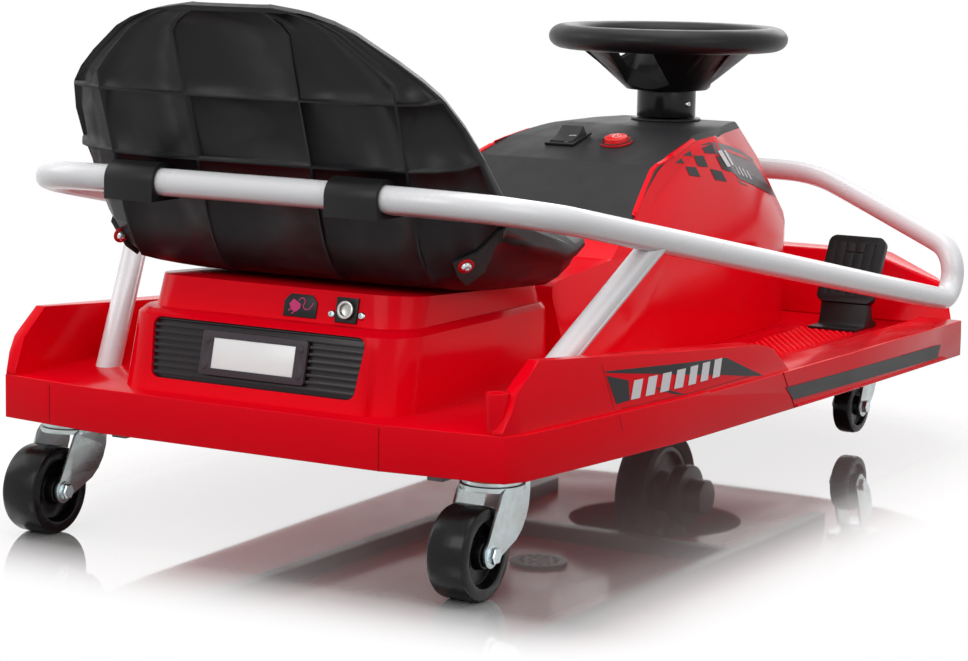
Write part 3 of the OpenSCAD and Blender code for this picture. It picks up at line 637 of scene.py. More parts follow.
class Skin:
    """The surface of one or more CAD nodes, which details are laid on."""

    _known: dict[str, BVHTree] = {}
    sink: float = 0.3
    foot_share: float = 0.5
    crown_share: float = 0.36

    def __init__(self, node: str) -> None:
        """Finds or builds the search tree.

        Args:
            node: The CAD node, or several with spaces between them.
        """
        if node not in self._known:
            corners, faces = [], []
            for data in (frame["nodes"][name].data for name in node.split()):
                faces += [[len(corners) + index for index in p.vertices] for p in data.polygons]
                corners += [v.co for v in data.vertices]
            self._known[node] = BVHTree.FromPolygons(corners, faces)
        self.tree = self._known[node]

    def nearest(self, point: Vector) -> tuple[Vector, Vector]:
        """Returns the surface's place nearest to a point, and its normal."""
        place, normal, _, _ = self.tree.find_nearest(point)
        return place, normal

    def ridge(self, bm: bmesh.types.BMesh, path: Path, width: float, height: float,
              step: float = 6.0) -> None:
        """Adds a low ridge along the surface, such as a dark seam line of painted shade, a lip or a painted
        stroke.

        Args:
            bm: The bmesh that it is added to.
            path: The points that it follows, in millimetres.
            width: Its width, in millimetres.
            height: How far it stands up, in millimetres.
            step: The longest stretch between two of its rings, in millimetres.
        """
        points = [Vector(path[0])]
        for start, end in zip(path, path[1:]):
            start, end = Vector(start), Vector(end)
            count = max(1, math.ceil((end - start).length / step))
            points += [start.lerp(end, (index + 1) / count) for index in range(count)]
        stations = [self.nearest(point * MM) for point in points]
        rings = []
        for index, (place, normal) in enumerate(stations):
            before = stations[max(index - 1, 0)][0]
            after = stations[min(index + 1, len(stations) - 1)][0]
            side = (after - before).cross(normal).normalized() * width * MM
            low, high = -self.sink * MM * normal, height * MM * normal
            section = ((-self.foot_share, low), (self.foot_share, low),
                       (self.crown_share, high), (-self.crown_share, high))
            rings.append([bm.verts.new(place + side * share + rise) for share, rise in section])
        SHOP.skin_rings(bm, rings)

    def plate(self, bm: bmesh.types.BMesh, outline: Path, height: float) -> None:
        """Adds a thin flat plate on the surface.

        Args:
            bm: The bmesh that it is added to.
            outline: Its corners, in millimetres.
            height: How far it stands up, in millimetres.
        """
        spots = [self.nearest(Vector(corner) * MM) for corner in outline]
        SHOP.skin_rings(bm, [[bm.verts.new(place + normal * rise * MM) for place, normal in spots]
                             for rise in (-self.sink, height)])


@dataclass
class Studio:
    """Camera, floor, backdrop and soft light.

    The fades are (place, share) pairs, where a place is a share of the reach beyond the footprint.
    Each lamp is a name, a place, a width and depth, and a power in watts.
    """

    camera_place: Vector = Vector((-2.46993, -1.37948, 0.57199))
    camera_yaw: float = 0.537208
    camera_pitch: float = 0.147373
    camera_roll: float = 0.016909
    lens: float = 105.08
    shift: tuple[float, float] = (0.04016, -0.00654)
    sensor_width: float = 36.0
    view_end: float = 60.0
    floor_half: float = 14.0
    floor_roughness: float = 0.035
    floor_grey: float = 0.97
    bounce_grey: float = 0.4
    footprint: tuple[float, float] = (0.5, 0.3)
    mirror_share: float = 0.78
    mirror_reach: float = 0.16
    mirror_fade: Outline = ((0.0, 1.0), (0.35, 0.8), (1.0, 0.0))
    white_reach: float = 0.3
    white_fade: Outline = ((0.05, 0.0), (0.45, 0.75), (1.0, 1.0))
    world_strength: float = 0.66
    lamp_aim: Vector = Vector((0.0, 0.0, 0.2))
    lamps: tuple[tuple, ...] = (
        ("lamp_over", (0.1, -0.1, 2.6), (2.6, 1.6), 32.0),
        ("lamp_right", (-1.2, -2.6, 1.5), (1.6, 1.4), 14.0),
        ("lamp_back", (-3.0, 0.3, 1.7), (1.8, 1.4), 26.0),
        ("lamp_left", (-0.8, 2.4, 1.6), (1.4, 1.6), 12.0),
        ("lamp_front", (2.8, 0.6, 1.4), (1.8, 1.2), 14.0),
    )

    def build(self) -> None:
        """Builds all of it."""
        self.build_camera()
        self.build_floor()
        self.build_world()
        self.build_lamps()

    def build_camera(self) -> None:
        """Places the camera at the photograph's viewing angle."""
        yaw, pitch, roll = self.camera_yaw, self.camera_pitch, self.camera_roll
        ahead = Vector((math.cos(yaw) * math.cos(pitch), math.sin(yaw) * math.cos(pitch), -math.sin(pitch)))
        level = Vector((math.sin(yaw), -math.cos(yaw), 0.0))
        upright = level.cross(ahead)
        right = math.cos(roll) * level + math.sin(roll) * upright
        up = -math.sin(roll) * level + math.cos(roll) * upright
        turn = Matrix((right, up, -ahead)).transposed().to_4x4()
        data = bpy.data.cameras.new("studio_camera")
        data.lens = self.lens
        data.sensor_width = self.sensor_width
        data.sensor_fit = "HORIZONTAL"
        data.shift_x, data.shift_y = self.shift
        data.clip_end = self.view_end
        camera = bpy.data.objects.new("studio_camera", data)
        camera.matrix_world = Matrix.Translation(self.camera_place) @ turn
        bpy.context.scene.collection.objects.link(camera)
        bpy.context.scene.camera = camera

    def build_floor(self) -> None:
        """Lays the floor, which turns into the backdrop far out."""
        bm = bmesh.new()
        bmesh.ops.create_grid(bm, x_segments=2, y_segments=2, size=self.floor_half)
        mesh = bpy.data.meshes.new("floor")
        bm.to_mesh(mesh)
        bm.free()
        floor = bpy.data.objects.new("floor", mesh)
        bpy.context.scene.collection.objects.link(floor)
        mesh.materials.append(self.floor_material())

    def floor_material(self) -> bpy.types.Material:
        """Builds the floor's material: a mirror near the kart, and plain white further out.

        Returns:
            The material.
        """
        paint = Paint("floor_pale")
        seen = self.seen(paint)
        paint.feed("Base Color", paint.mix(seen, (self.bounce_grey,) * 3, (self.floor_grey,) * 3))
        paint.feed("Roughness", self.floor_roughness)
        paint.feed("Specular IOR Level", 0.0)
        beyond = []
        for axis, half in zip("XY", self.footprint):
            reach = paint.maths("ABSOLUTE", paint.part_of(paint.place(), axis)) - half
            beyond.append(paint.maths("MAXIMUM", reach, 0.0))
        away = paint.maths("SQRT", beyond[0] * beyond[0] + beyond[1] * beyond[1])
        near = [(place, share * self.mirror_share) for place, share in self.mirror_fade]
        paint.feed("Metallic", paint.ramp(away / self.mirror_reach, near))
        white = paint.ramp(away / self.white_reach, self.white_fade)
        glow = paint.node("ShaderNodeEmission", {}, {"Color": (1, 1, 1, 1), "Strength": seen})
        blend = paint.node("ShaderNodeMixShader", {}, {0: white})
        paint.tree.links.new(paint.shader.outputs[0], blend.inputs[1])
        paint.tree.links.new(glow.outputs[0], blend.inputs[2])
        output = paint.tree.nodes["Material Output"]
        paint.tree.links.new(blend.outputs[0], output.inputs["Surface"])
        return paint.material

    def seen(self, paint: Paint) -> Signal:
        """Returns 1 for rays that show the backdrop: camera, mirror and glass rays.

        Args:
            paint: The material that asks.

        Returns:
            The signal.
        """
        path = paint.node("ShaderNodeLightPath", {}, {})
        camera, glossy, glass = (Signal(paint, path.outputs[f"Is {kind} Ray"])
                                 for kind in ("Camera", "Glossy", "Transmission"))
        return paint.maths("MAXIMUM", paint.maths("MAXIMUM", camera, glossy), glass)

    def build_world(self) -> None:
        """Lights the room evenly and shows the backdrop white."""
        world = bpy.data.worlds.new("studio_world")
        bpy.context.scene.world = world
        world.use_nodes = True
        tree = world.node_tree
        tree.nodes.clear()
        path = tree.nodes.new("ShaderNodeLightPath")
        shown = path.outputs["Is Camera Ray"]
        for kind in ("Glossy", "Transmission"):
            either = tree.nodes.new("ShaderNodeMath")
            either.operation = "MAXIMUM"
            tree.links.new(shown, either.inputs[0])
            tree.links.new(path.outputs[f"Is {kind} Ray"], either.inputs[1])
            shown = either.outputs[0]
        strength = tree.nodes.new("ShaderNodeMix")
        strength.data_type = "FLOAT"
        strength.inputs[2].default_value = self.world_strength
        strength.inputs[3].default_value = 1.0
        tree.links.new(shown, strength.inputs[0])
        back = tree.nodes.new("ShaderNodeBackground")
        back.inputs[0].default_value = (1, 1, 1, 1)
        tree.links.new(strength.outputs[0], back.inputs[1])
        output = tree.nodes.new("ShaderNodeOutputWorld")
        tree.links.new(back.outputs[0], output.inputs[0])

    def build_lamps(self) -> None:
        """Hangs soft boxes: overhead, behind, ahead and on both sides."""
        for name, place, size, power in self.lamps:
            data = bpy.data.lights.new(name, "AREA")
            data.shape = "RECTANGLE"
            data.size, data.size_y = size
            data.energy = power
            lamp = bpy.data.objects.new(name, data)
            lamp.location = place
            lamp.rotation_euler = (self.lamp_aim - Vector(place)).to_track_quat("-Z", "Y").to_euler()
            bpy.context.scene.collection.objects.link(lamp)


class Layer(Enum):
    """How far a sticker lies off the flank, by its place in the stack, in metres."""

    GROUND = 0.0003
    STRIP = 0.0004
    INLAY = 0.0005
    BAR = 0.0006
    TOP = 0.0008


@dataclass
class Foil:
    """A thin sticker cut from an outline and laid on the flank of one or more CAD nodes.

    The outline is (x, z) pairs in millimetres. Points are sent in from far_y, and for those that miss
    the surface its nearest place is looked up from edge_y.
    """

    outline: Outline
    finish: Finish
    node: str
    layer: Layer = Layer.GROUND
    cell: float = 0.008
    far_y: float = 1.0
    edge_y: float = 0.1

    def build(self, name: str, side: Side) -> bpy.types.Object:
        """Lays the sticker on one side of the kart.

        Args:
            name: The piece's name.
            side: The flank that it goes on.

        Returns:
            The sticker.
        """
        bm = bmesh.new()
        corners = [bm.verts.new((x * MM, 0.0, z * MM)) for x, z in self.outline]
        bm.faces.new(corners)
        self._cut_cells(bm)
        self._press(bm, side)
        self._face_out(bm, side)
        return SHOP.piece(name, bm, self.finish, sharp_degrees=SHOP.all_smooth)

    def _cut_cells(self, bm: bmesh.types.BMesh) -> None:
        """Cuts the flat outline into cells, so that it can follow a curve.

        Args:
            bm: The flat sticker.
        """
        for axis in (0, 2):
            low = min(v.co[axis] for v in bm.verts)
            high = max(v.co[axis] for v in bm.verts)
            steps = int((high - low) / self.cell)
            normal = Vector((axis == 0, 0, axis == 2))
            for step in range(1, steps + 1):
                bmesh.ops.bisect_plane(bm, geom=list(bm.verts) + list(bm.edges) + list(bm.faces),
                                       plane_co=normal * (low + step * self.cell), plane_no=normal)

    def _press(self, bm: bmesh.types.BMesh, side: Side) -> None:
        """Moves every point along Y onto the surface, and those that miss it to its nearest place.

        Args:
            bm: The flat sticker.
            side: The flank that it goes on.
        """
        skin = Skin(self.node)
        for vert in bm.verts:
            start = Vector((vert.co.x, side.value * self.far_y, vert.co.z))
            place, normal, _, _ = skin.tree.ray_cast(start, Vector((0.0, -side.value, 0.0)))
            if place is None:
                place, normal = skin.nearest(Vector((vert.co.x, side.value * self.edge_y, vert.co.z)))
            out = normal if normal.y * side.value > 0 else -normal
            vert.co = place + out * self.layer.value

    def _face_out(self, bm: bmesh.types.BMesh, side: Side) -> None:
        """Turns the sticker's faces away from the kart.

        Args:
            bm: The sticker.
            side: The flank that it is on.
        """
        bmesh.ops.recalc_face_normals(bm, faces=bm.faces)
        lean = sum(face.normal.y * face.calc_area() for face in bm.faces)
        if lean * side.value < 0:
            bmesh.ops.reverse_faces(bm, faces=bm.faces)


@dataclass
class Stickers:
    """Foils on the kart's flanks: shards, bars, stripes and a chequered band.

    An outline is (x, z) pairs in millimetres. The flange's path is given for the right flank.
    """

    wing_shard: Outline = ((-352.5, 180), (-152.5, 168), (-82, 142), (-121, 147), (-157, 152.5), (-228, 162),
                           (-352, 178.6))
    wing_wedge: Outline = ((-351.7, 176), (-319, 168), (-319.3, 150.8), (-340, 150))
    wing_sliver: Outline = ((-282, 158), (-263, 153.4), (-228, 143.7), (-248, 147), (-269, 152.4))
    bar_count: int = 7
    bar_pitch: float = 22.7
    bar_start: tuple[float, float] = (-318, 151)
    bar_size: tuple[float, float] = (14.0, 16.0)
    bar_slant: float = 7.0
    bar_climb: float = 0.012
    skirt_stripe: Outline = ((-42, 126), (330, 122), (322, 108), (-25, 112))
    chequers: tuple[Outline, ...] = (
        ((185.7, 329.1), (212.9, 330.6), (213.4, 318.5), (188.6, 320.9)),
        ((161.3, 319.9), (183.9, 318.4), (189, 306.3), (166.4, 308.9)),
        ((136.5, 321.5), (157.1, 325.3), (158.4, 319.7)),
        ((116.3, 315.7), (132, 319.4), (135.7, 313.6)),
        ((137.8, 310.6), (160.5, 308.3), (166.4, 297.8), (141.8, 301.2)),
        ((192.3, 304.5), (217.4, 299.8), (224.7, 288.7), (198.1, 292.7)),
        ((212.5, 316.9), (239.9, 310.5), (253.9, 294.2), (221, 302)),
    )
    sweep: Outline = ((215.1, 330.5), (248.6, 326.1), (316.5, 315.1), (364.8, 300.8), (360.3, 298.6),
                      (385.7, 277.8), (405.7, 256.8), (330.4, 278.4), (253.9, 294.2), (239.9, 310.5),
                      (213.6, 318.9))
    sweep_gap: Outline = ((252, 321), (318, 309.5), (350, 299.5), (318, 306), (256, 317.5))
    apron: Outline = ((235, 335.5), (179, 333), (135.6, 326), (95.6, 317.5), (73, 309.5), (49, 297.5),
                      (24.5, 284), (1, 270.5), (-8, 264), (18, 256), (36, 272), (56, 286), (84, 297),
                      (124, 311), (187, 326), (240, 332))
    flange: Path = ((179, -98, 334), (135.6, -104, 327), (95.6, -106, 318.6), (73, -104, 310.7),
                    (50, -109, 298), (25.3, -115, 284.6), (2, -121, 271))
    flange_size: tuple[float, float] = (6.0, 1.2)
    corner_chequers: tuple[int, int] = (2, 3)
    tail: Outline = ((252.5, 293.5), (333.6, 285.5), (400, 268), (394, 259.6), (317.4, 277.5), (263.6, 288.5))
    tail_line: Outline = ((251, 290.5), (262, 284.2), (295.3, 277.4), (264, 286))
    flashes: tuple[Outline, ...] = (
        ((219, 321), (232, 321), (246, 303), (233, 303.5)),
        ((240, 320), (250, 319.5), (262, 303), (252, 303.5)),
        ((265, 303), (268, 302), (275, 292), (269, 293)),
        ((277, 300), (283, 299), (290, 289), (284, 290)),
        ((292, 297), (298, 296), (305, 286), (299, 287)),
        ((307, 294), (313, 293), (320, 283), (314, 284)),
    )

    def build(self) -> None:
        """Lays the foils on both flanks."""
        for side in Side:
            self.build_wing(side)
            self.build_console(side)

    def build_wing(self, side: Side) -> None:
        """Lays the shards, the row of bars and the stripe on one flank.

        Args:
            side: The flank.
        """
        tag = side.name.lower()
        wing = f"wing_{tag}"
        for name, outline, node in (("shard", self.wing_shard, wing), ("wedge", self.wing_wedge, wing),
                                    ("sliver", self.wing_sliver, wing),
                                    ("stripe", self.skirt_stripe, "body_floor")):
            Foil(outline, FOIL_BLACK, node).build(f"foil_{name}_{tag}", side)
        for index in range(self.bar_count):
            Foil(self.bar(index), FOIL_SILVER, wing, Layer.BAR).build(f"foil_bar_{tag}_{index}", side)

    def bar(self, index: int) -> Outline:
        """Returns the outline of one slanted bar of the row.

        Args:
            index: Its number, from the rear.

        Returns:
            Its four corners.
        """
        width, height = self.bar_size
        x = self.bar_start[0] + index * self.bar_pitch
        z = self.bar_start[1] + index * self.bar_pitch * self.bar_climb
        return ((x, z), (x + width, z), (x + width + self.bar_slant, z + height),
                (x + self.bar_slant, z + height))

    def build_console(self, side: Side) -> None:
        """Lays the red strip and its flange, the chequers, the grey sweep and its flashes on one side.

        Args:
            side: The side of the console.
        """
        tag = side.name.lower()
        shell, cover = "console_shell", "console_cover console_shell"
        Foil(self.apron, BODY_RED, cover, Layer.STRIP).build(f"apron_{tag}", side)
        self.build_flange(side, cover)
        corners = [self.chequers[number] for number in self.corner_chequers]
        self.lay_row(f"foil_corner_{tag}", corners, FOIL_BLACK, cover, Layer.TOP, side)
        for name, outline, finish, layer in (("sweep", self.sweep, FOIL_GREY, Layer.GROUND),
                                             ("gap", self.sweep_gap, BODY_RED, Layer.INLAY),
                                             ("tail", self.tail, FOIL_BLACK, Layer.INLAY),
                                             ("line", self.tail_line, FOIL_BLACK, Layer.INLAY)):
            Foil(outline, finish, shell, layer).build(f"foil_{name}_{tag}", side)
        self.lay_row(f"foil_chequer_{tag}", self.chequers, FOIL_BLACK, shell, Layer.STRIP, side)
        self.lay_row(f"foil_flash_{tag}", self.flashes, FOIL_SILVER, shell, Layer.TOP, side)

    def lay_row(self, name: str, outlines: Sequence[Outline], finish: Finish, node: str, layer: Layer,
                side: Side) -> None:
        """Lays like foils, whose names end in their number.

        Args:
            name: What their names start with.
            outlines: The outline of each.
            finish: Their finish.
            node: The node or nodes that they are laid on.
            layer: Their place in the stack.
            side: The flank that they go on.
        """
        for index, outline in enumerate(outlines):
            Foil(outline, finish, node, layer).build(f"{name}_{index}", side)

    def build_flange(self, side: Side, nodes: str) -> None:
        """Raises the red lip along the strip's rear edge, on the surface of the named nodes.

        Args:
            side: The side of the console.
            nodes: The nodes, with spaces between them.
        """
        bm = bmesh.new()
        width, height = self.flange_size
        Skin(nodes).ridge(bm, mirrored(self.flange, side), width=width, height=height)
        SHOP.solid(f"flange_{side.name.lower()}", bm, BODY_RED)


@dataclass
class Seams:
    """Parting lines and creases drawn as dark red ridges, which are painted shade, and the lips and the tread
    on the red mouldings.

    Paths are in millimetres and given for the right flank. A size is a width and a height.
    """

    wing_low: Path = ((-350, -280, 145), (-226, -297, 145), (-90, -301, 145))
    wing_back: Path = ((-357.5, -277.5, 187), (-343, -283, 145))
    skirt_shade_lines: tuple[Path, ...] = (((-342, -289, 141), (-337, -290, 127)),
                                     ((-48, -309, 141), (-21, -310, 104)))
    line_size: tuple[float, float] = (1.0, 0.12)
    rear_seam_shades: Sequence[float] = (206.6, -149.2)
    rear_x: float = -512.0
    rear_z: tuple[float, float] = (140.0, 102.0)
    rear_size: tuple[float, float] = (1.2, 0.12)
    skirt_lip: Path = ((-17, -310, 104.8), (140, -316, 104.8), (347, -321, 104.8))
    lip_size: tuple[float, float] = (2.6, 1.0)
    tread_x: tuple[float, float] = (64.0, 338.0)
    tread_outer: float = 219.0
    tread_inner: tuple[float, float] = (170.0, 158.0)
    tread_pitch: tuple[float, float] = (8.0, 6.0)
    nub_half: tuple[float, float] = (2.3, 2.1)
    deck_z: float = 125.0
    nub_height: float = 1.0
    nub_sink: float = 0.3
    nub_crown: float = 0.45

    def build(self) -> None:
        """Draws the dark lines of painted shade and the lips on both flanks, and lays the tread in both foot
        wells.
        """
        for side in Side:
            tag = side.name.lower()
            wing_paths = [(f"wing_{tag}", path) for path in (self.wing_low, self.wing_back)]
            skirt_paths = [("body_floor", path) for path in self.skirt_shade_lines]
            # The dark red lines along the wing and skirt creases are painted shade.
            self.draw(f"wing_lines_{tag}", side, wing_paths + skirt_paths, self.line_size, SEAM_SHADE_RED)
            self.draw(f"skirt_lip_{tag}", side, [("body_floor", self.skirt_lip)], self.lip_size, BODY_RED)
            self.build_tread(side)
        # The rear face's dark red lines are painted shade in its creases.
        top, bottom = self.rear_z
        rear_paths = [("body_floor", ((self.rear_x, y, top), (self.rear_x, y, bottom)))
                      for y in self.rear_seam_shades]
        self.draw("rear_lines", Side.RIGHT, rear_paths, self.rear_size, SEAM_SHADE_RED)

    def draw(self, name: str, side: Side, paths: Sequence[tuple[str, Path]],
             size: tuple[float, float], finish: Finish) -> None:
        """Makes one piece of ridges along paths.

        Args:
            name: The piece's name.
            side: The flank that the paths are wanted on.
            paths: The node that each path lies on, and the path for the right flank.
            size: The ridges' width and height.
            finish: The piece's finish.
        """
        bm = bmesh.new()
        width, height = size
        for node, path in paths:
            Skin(node).ridge(bm, mirrored(path, side), width=width, height=height)
        SHOP.solid(name, bm, finish)

    def build_tread(self, side: Side) -> None:
        """Lays rows of lozenge nubs on one foot well's floor.

        Args:
            side: The side of the foot well.
        """
        bm = bmesh.new()
        start, end = self.tread_x
        across, along = self.tread_pitch
        rows = int((end - start) / along)
        for row in range(rows + 1):
            x = start + row * along
            share = (x - start) / (end - start)
            inner = self.tread_inner[0] * (1 - share) + self.tread_inner[1] * share
            y = self.tread_outer - (row % 2) * across / 2
            while y > inner:
                self.add_nub(bm, x, side.value * y)
                y -= across
        SHOP.solid(f"deck_tread_{side.name.lower()}", bm, TREAD_RED)

    def add_nub(self, bm: bmesh.types.BMesh, x: float, y: float) -> None:
        """Adds one lozenge with sloping flanks.

        Args:
            bm: The bmesh that it is added to.
            x: Its place along the kart, in millimetres.
            y: Its place across the kart, in millimetres.
        """
        half_y, half_x = self.nub_half
        corners = ((half_x, 0.0), (0.0, half_y), (-half_x, 0.0), (0.0, -half_y))
        rings = []
        for share, z in ((1.0, self.deck_z - self.nub_sink), (1.0, self.deck_z),
                         (self.nub_crown, self.deck_z + self.nub_height)):
            rings.append([bm.verts.new(((x + share * dx) * MM, (y + share * dy) * MM, z * MM))
                          for dx, dy in corners])
        SHOP.skin_rings(bm, rings)


@dataclass
class Fasteners:
    """Screws, bolts, washers and the casters' coloured races.

    Places, widths and profiles are in millimetres. Profiles are (radius, height) pairs, and those of a
    race count from its value in race_radii. A rear and a front caster's values are given as a pair.
    """

    socket_screws: Path = ((-450, -62.6, 221.5), (-450, -93, 222.3))
    socket_screw_width: float = 7.5
    belt_anchors: tuple[tuple[str, tuple[float, float, float]], ...] = (
        ("belt_right", (-429.2, -183.4, 270.8)),
        ("belt_left", (-435.8, 175.5, 271.1)),
    )
    anchor_washer: Outline = ((7.2, -0.4), (7.2, 0.7), (6.2, 1.2), (4.0, 1.2))
    anchor_screw_width: float = 9.5
    set_screw: tuple[float, float, float] = (301.5, -30.5, 362.0)
    set_screw_width: float = 7.0
    bolt_across: tuple[float, float] = (15.0, 12.5)
    bolt_reach: float = 6.0
    bolt_proud: float = 0.4
    race_radii: tuple[float, float] = (26.6, 14.6)
    race_profile: Outline = ((-1.0, 3.2), (0.0, 3.8), (0.0, 6.0), (-1.0, 6.6))
    race_steps: int = 40

    def build(self) -> None:
        """Adds every fastener."""
        self.build_socket_screws()
        self.build_anchors()
        self.build_set_screw()
        for corner in CORNERS:
            self.build_axle(corner)
            self.build_race(corner)

    def build_socket_screws(self) -> None:
        """Puts a screw on each side of the charging socket."""
        bm = bmesh.new()
        for point in self.socket_screws:
            place, normal = Skin("seat_base").nearest(Vector(point) * MM)
            SHOP.pan_screw(bm, place, normal, self.socket_screw_width * MM)
        SHOP.solid("socket_screws", bm, SCREW_STEEL)

    def build_anchors(self) -> None:
        """Screws the belt's ends down through red washers."""
        profile = [(radius * MM, height * MM) for radius, height in self.anchor_washer]
        for node, point in self.belt_anchors:
            washer, screw = bmesh.new(), bmesh.new()
            place, normal = Skin(node).nearest(Vector(point) * MM)
            SHOP.turned(washer, place, normal, profile)
            SHOP.pan_screw(screw, place + normal * profile[-1][1], normal, self.anchor_screw_width * MM)
            SHOP.solid(f"{node}_washer", washer, WASHER_RED)
            SHOP.solid(f"{node}_screw", screw, SCREW_STEEL)

    def build_set_screw(self) -> None:
        """Puts the set screw into the steering column."""
        bm = bmesh.new()
        place, normal = Skin("steering_column").nearest(Vector(self.set_screw) * MM)
        SHOP.pan_screw(bm, place, normal, self.set_screw_width * MM)
        SHOP.solid("column_screw", bm, SCREW_STEEL, Rider.STEERING.value)

    def at_corner(self, values: tuple[float, float], corner: str) -> float:
        """Returns the rear or the front value of a pair, for a caster."""
        rear, front = values
        return rear if corner.startswith("rear") else front

    def build_axle(self, corner: str) -> None:
        """Puts a bolt head and a nut on the ends of one caster's axle.

        Args:
            corner: The caster's corner.
        """
        x, y, z = JOINT_PLACES[f"roll_{corner}"]
        low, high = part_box(f"fork_{corner}")
        across = self.at_corner(self.bolt_across, corner) * MM
        reach, height = self.bolt_reach * MM, (self.bolt_reach + self.bolt_proud) * MM
        bm = bmesh.new()
        SHOP.hex_bolt(bm, Vector((x, low[1] + reach, z)), Vector((0, -1, 0)), across, height)
        SHOP.hex_bolt(bm, Vector((x, high[1] - reach, z)), Vector((0, 1, 0)), across, height)
        SHOP.solid(f"axle_bolt_{corner}", bm, SCREW_STEEL, f"caster_{corner}")

    def build_race(self, corner: str) -> None:
        """Puts the coloured ring round one caster's swivel bearing.

        Args:
            corner: The caster's corner.
        """
        x, y, _ = JOINT_PLACES[f"swivel_{corner}"]
        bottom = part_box("caster_plates")[0][2]
        radius = self.at_corner(self.race_radii, corner)
        profile = [((radius + offset) * MM, height * MM) for offset, height in self.race_profile]
        bm = bmesh.new()
        SHOP.turned(bm, Vector((x, y, bottom)), Vector((0, 0, 1)), profile, steps=self.race_steps)
        SHOP.solid(f"race_{corner}", bm, RACE_ORANGE)


@dataclass
class Marks:
    """Plain pictograms: a plug beside the socket, strokes on the switch and the button's ring.

    Places, widths and heights are in millimetres.
    """

    plug_body: Path = ((-449.9, -18.5, 226.9), (-448.8, -22.4, 231.4), (-449.7, -30.3, 227.4),
                       (-450.6, -30.2, 223.9), (-451.4, -26.0, 220.4), (-451.1, -21.4, 221.7))
    prongs: tuple[Path, ...] = (((-450.7, -21.5, 223.1), (-451.2, -18.0, 221.1)),
                                ((-451.2, -25.3, 221.3), (-451.8, -21.9, 218.6)))
    plug_cord: Path = ((-449.1, -27.8, 230.1), (-448.6, -29.6, 232.4), (-448.5, -32.5, 232.7),
                       (-449.0, -34.6, 230.6), (-449.6, -34.2, 228.2), (-450.0, -33.1, 226.3),
                       (-450.4, -33.8, 224.2), (-450.8, -35.9, 223.0), (-450.5, -40.0, 224.0),
                       (-449.3, -43.5, 229.3))
    switch_strokes: tuple[Path, ...] = (((138.2, 26.5, 334.3), (140.4, 18.5, 333.4)),
                                        ((124.2, 24.0, 328.6), (126.6, 15.5, 327.8)))
    ring_centre: Vector = Vector((140.6, -28.0, 339.0))
    ring_radius: float = 4.4
    ring_degrees: range = range(40, 321, 20)
    ring_stroke: tuple[float, float] = (1.2, 5.4)
    foil_height: float = 0.25
    print_height: float = 0.15
    prong_width: float = 1.4
    cord_width: float = 1.0
    cord_step: float = 2.0
    switch_width: float = 2.0
    ring_width: float = 0.9

    def build(self) -> None:
        """Draws the pictograms."""
        self.draw_plug()
        strokes = bmesh.new()
        for stroke in self.switch_strokes:
            Skin("rocker_switch").ridge(strokes, stroke, width=self.switch_width, height=self.print_height)
        SHOP.solid("mark_switch", strokes, MARK_GREY)
        self.draw_ring()

    def draw_plug(self) -> None:
        """Draws the plug with its two prongs and its cord on the label beside the socket."""
        bm = bmesh.new()
        label = Skin("charge_panel")
        label.plate(bm, self.plug_body, height=self.foil_height)
        for prong in self.prongs:
            label.ridge(bm, prong, width=self.prong_width, height=self.foil_height)
        label.ridge(bm, self.plug_cord, width=self.cord_width, height=self.foil_height, step=self.cord_step)
        SHOP.solid("mark_plug", bm, FOIL_MAGENTA)

    def draw_ring(self) -> None:
        """Draws the open ring and its stroke on the power button."""
        bm = bmesh.new()
        x, y, z = self.ring_centre
        ring = arc(self.ring_centre, self.ring_radius, self.ring_degrees)
        stroke = [(x + ahead, y, z) for ahead in self.ring_stroke]
        for path in (ring, stroke):
            Skin("power_button").ridge(bm, path, width=self.ring_width, height=self.print_height)
        SHOP.solid("mark_button", bm, PLATE_WHITE)


@dataclass
class Bodywork:
    """The red mouldings, the black cover and what is fixed to them."""

    soft_edge: float = 0.003
    fine_edge: float = 0.0008

    def build(self) -> None:
        """Rounds and dresses every moulding."""
        for node in ("body_floor", "front_bumper", "wing_left", "wing_right", "seat_base"):
            SHOP.moulding(node, BODY_RED, edge=self.soft_edge)
        for node, finish in (("console_shell", BODY_RED), ("console_cover", COVER_BLACK),
                             ("flag_socket", BODY_RED), ("underframe", STEEL_GREY),
                             ("speaker_grille", TRIM_BLACK)):
            SHOP.moulding(node, finish, edge=self.fine_edge)


@dataclass
class RearPanel:
    """Grille, plate, charging socket and label on the seat base's rear face."""

    fine_edge: float = 0.0004

    def build(self) -> None:
        """Dresses the nodes of the rear face."""
        for node, finish in (("rear_grille", GRILLE_BLACK), ("plate_frame", FRAME_GREY),
                             ("blank_plate", PLATE_WHITE), ("charge_panel", TRIM_BLACK),
                             ("charge_socket", SOCKET_METAL)):
            SHOP.moulding(node, finish, edge=self.fine_edge, segments=2)


@dataclass
class Controls:
    """Switch and power button on the console's slope.

    Each ring of the bezel is a radius and how far its middle lies below the button's, in millimetres.
    """

    fine_edge: float = 0.0007
    bezel_rings: Outline = ((16.0, 0.0), (13.5, 1.4))
    bezel_slope: float = 0.249
    bezel_size: tuple[float, float] = (2.3, 0.3)
    full_circle: range = range(0, 361, 15)

    def build(self) -> None:
        """Dresses the switch and the button, and lays the bezel's rings."""
        SHOP.moulding("rocker_switch", TRIM_BLACK, edge=self.fine_edge)
        SHOP.moulding("power_button", BUTTON_RED, edge=self.fine_edge)
        low, high = (Vector(corner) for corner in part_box("power_button"))
        centre = (low + high) / 2 / MM
        bezel = bmesh.new()
        width, height = self.bezel_size
        for radius, drop in self.bezel_rings:
            around = arc(centre - Vector((0.0, 0.0, drop)), radius, self.full_circle, self.bezel_slope)
            Skin("power_button").ridge(bezel, around, width=width, height=height)
        SHOP.solid("button_bezel", bezel, TRIM_BLACK)


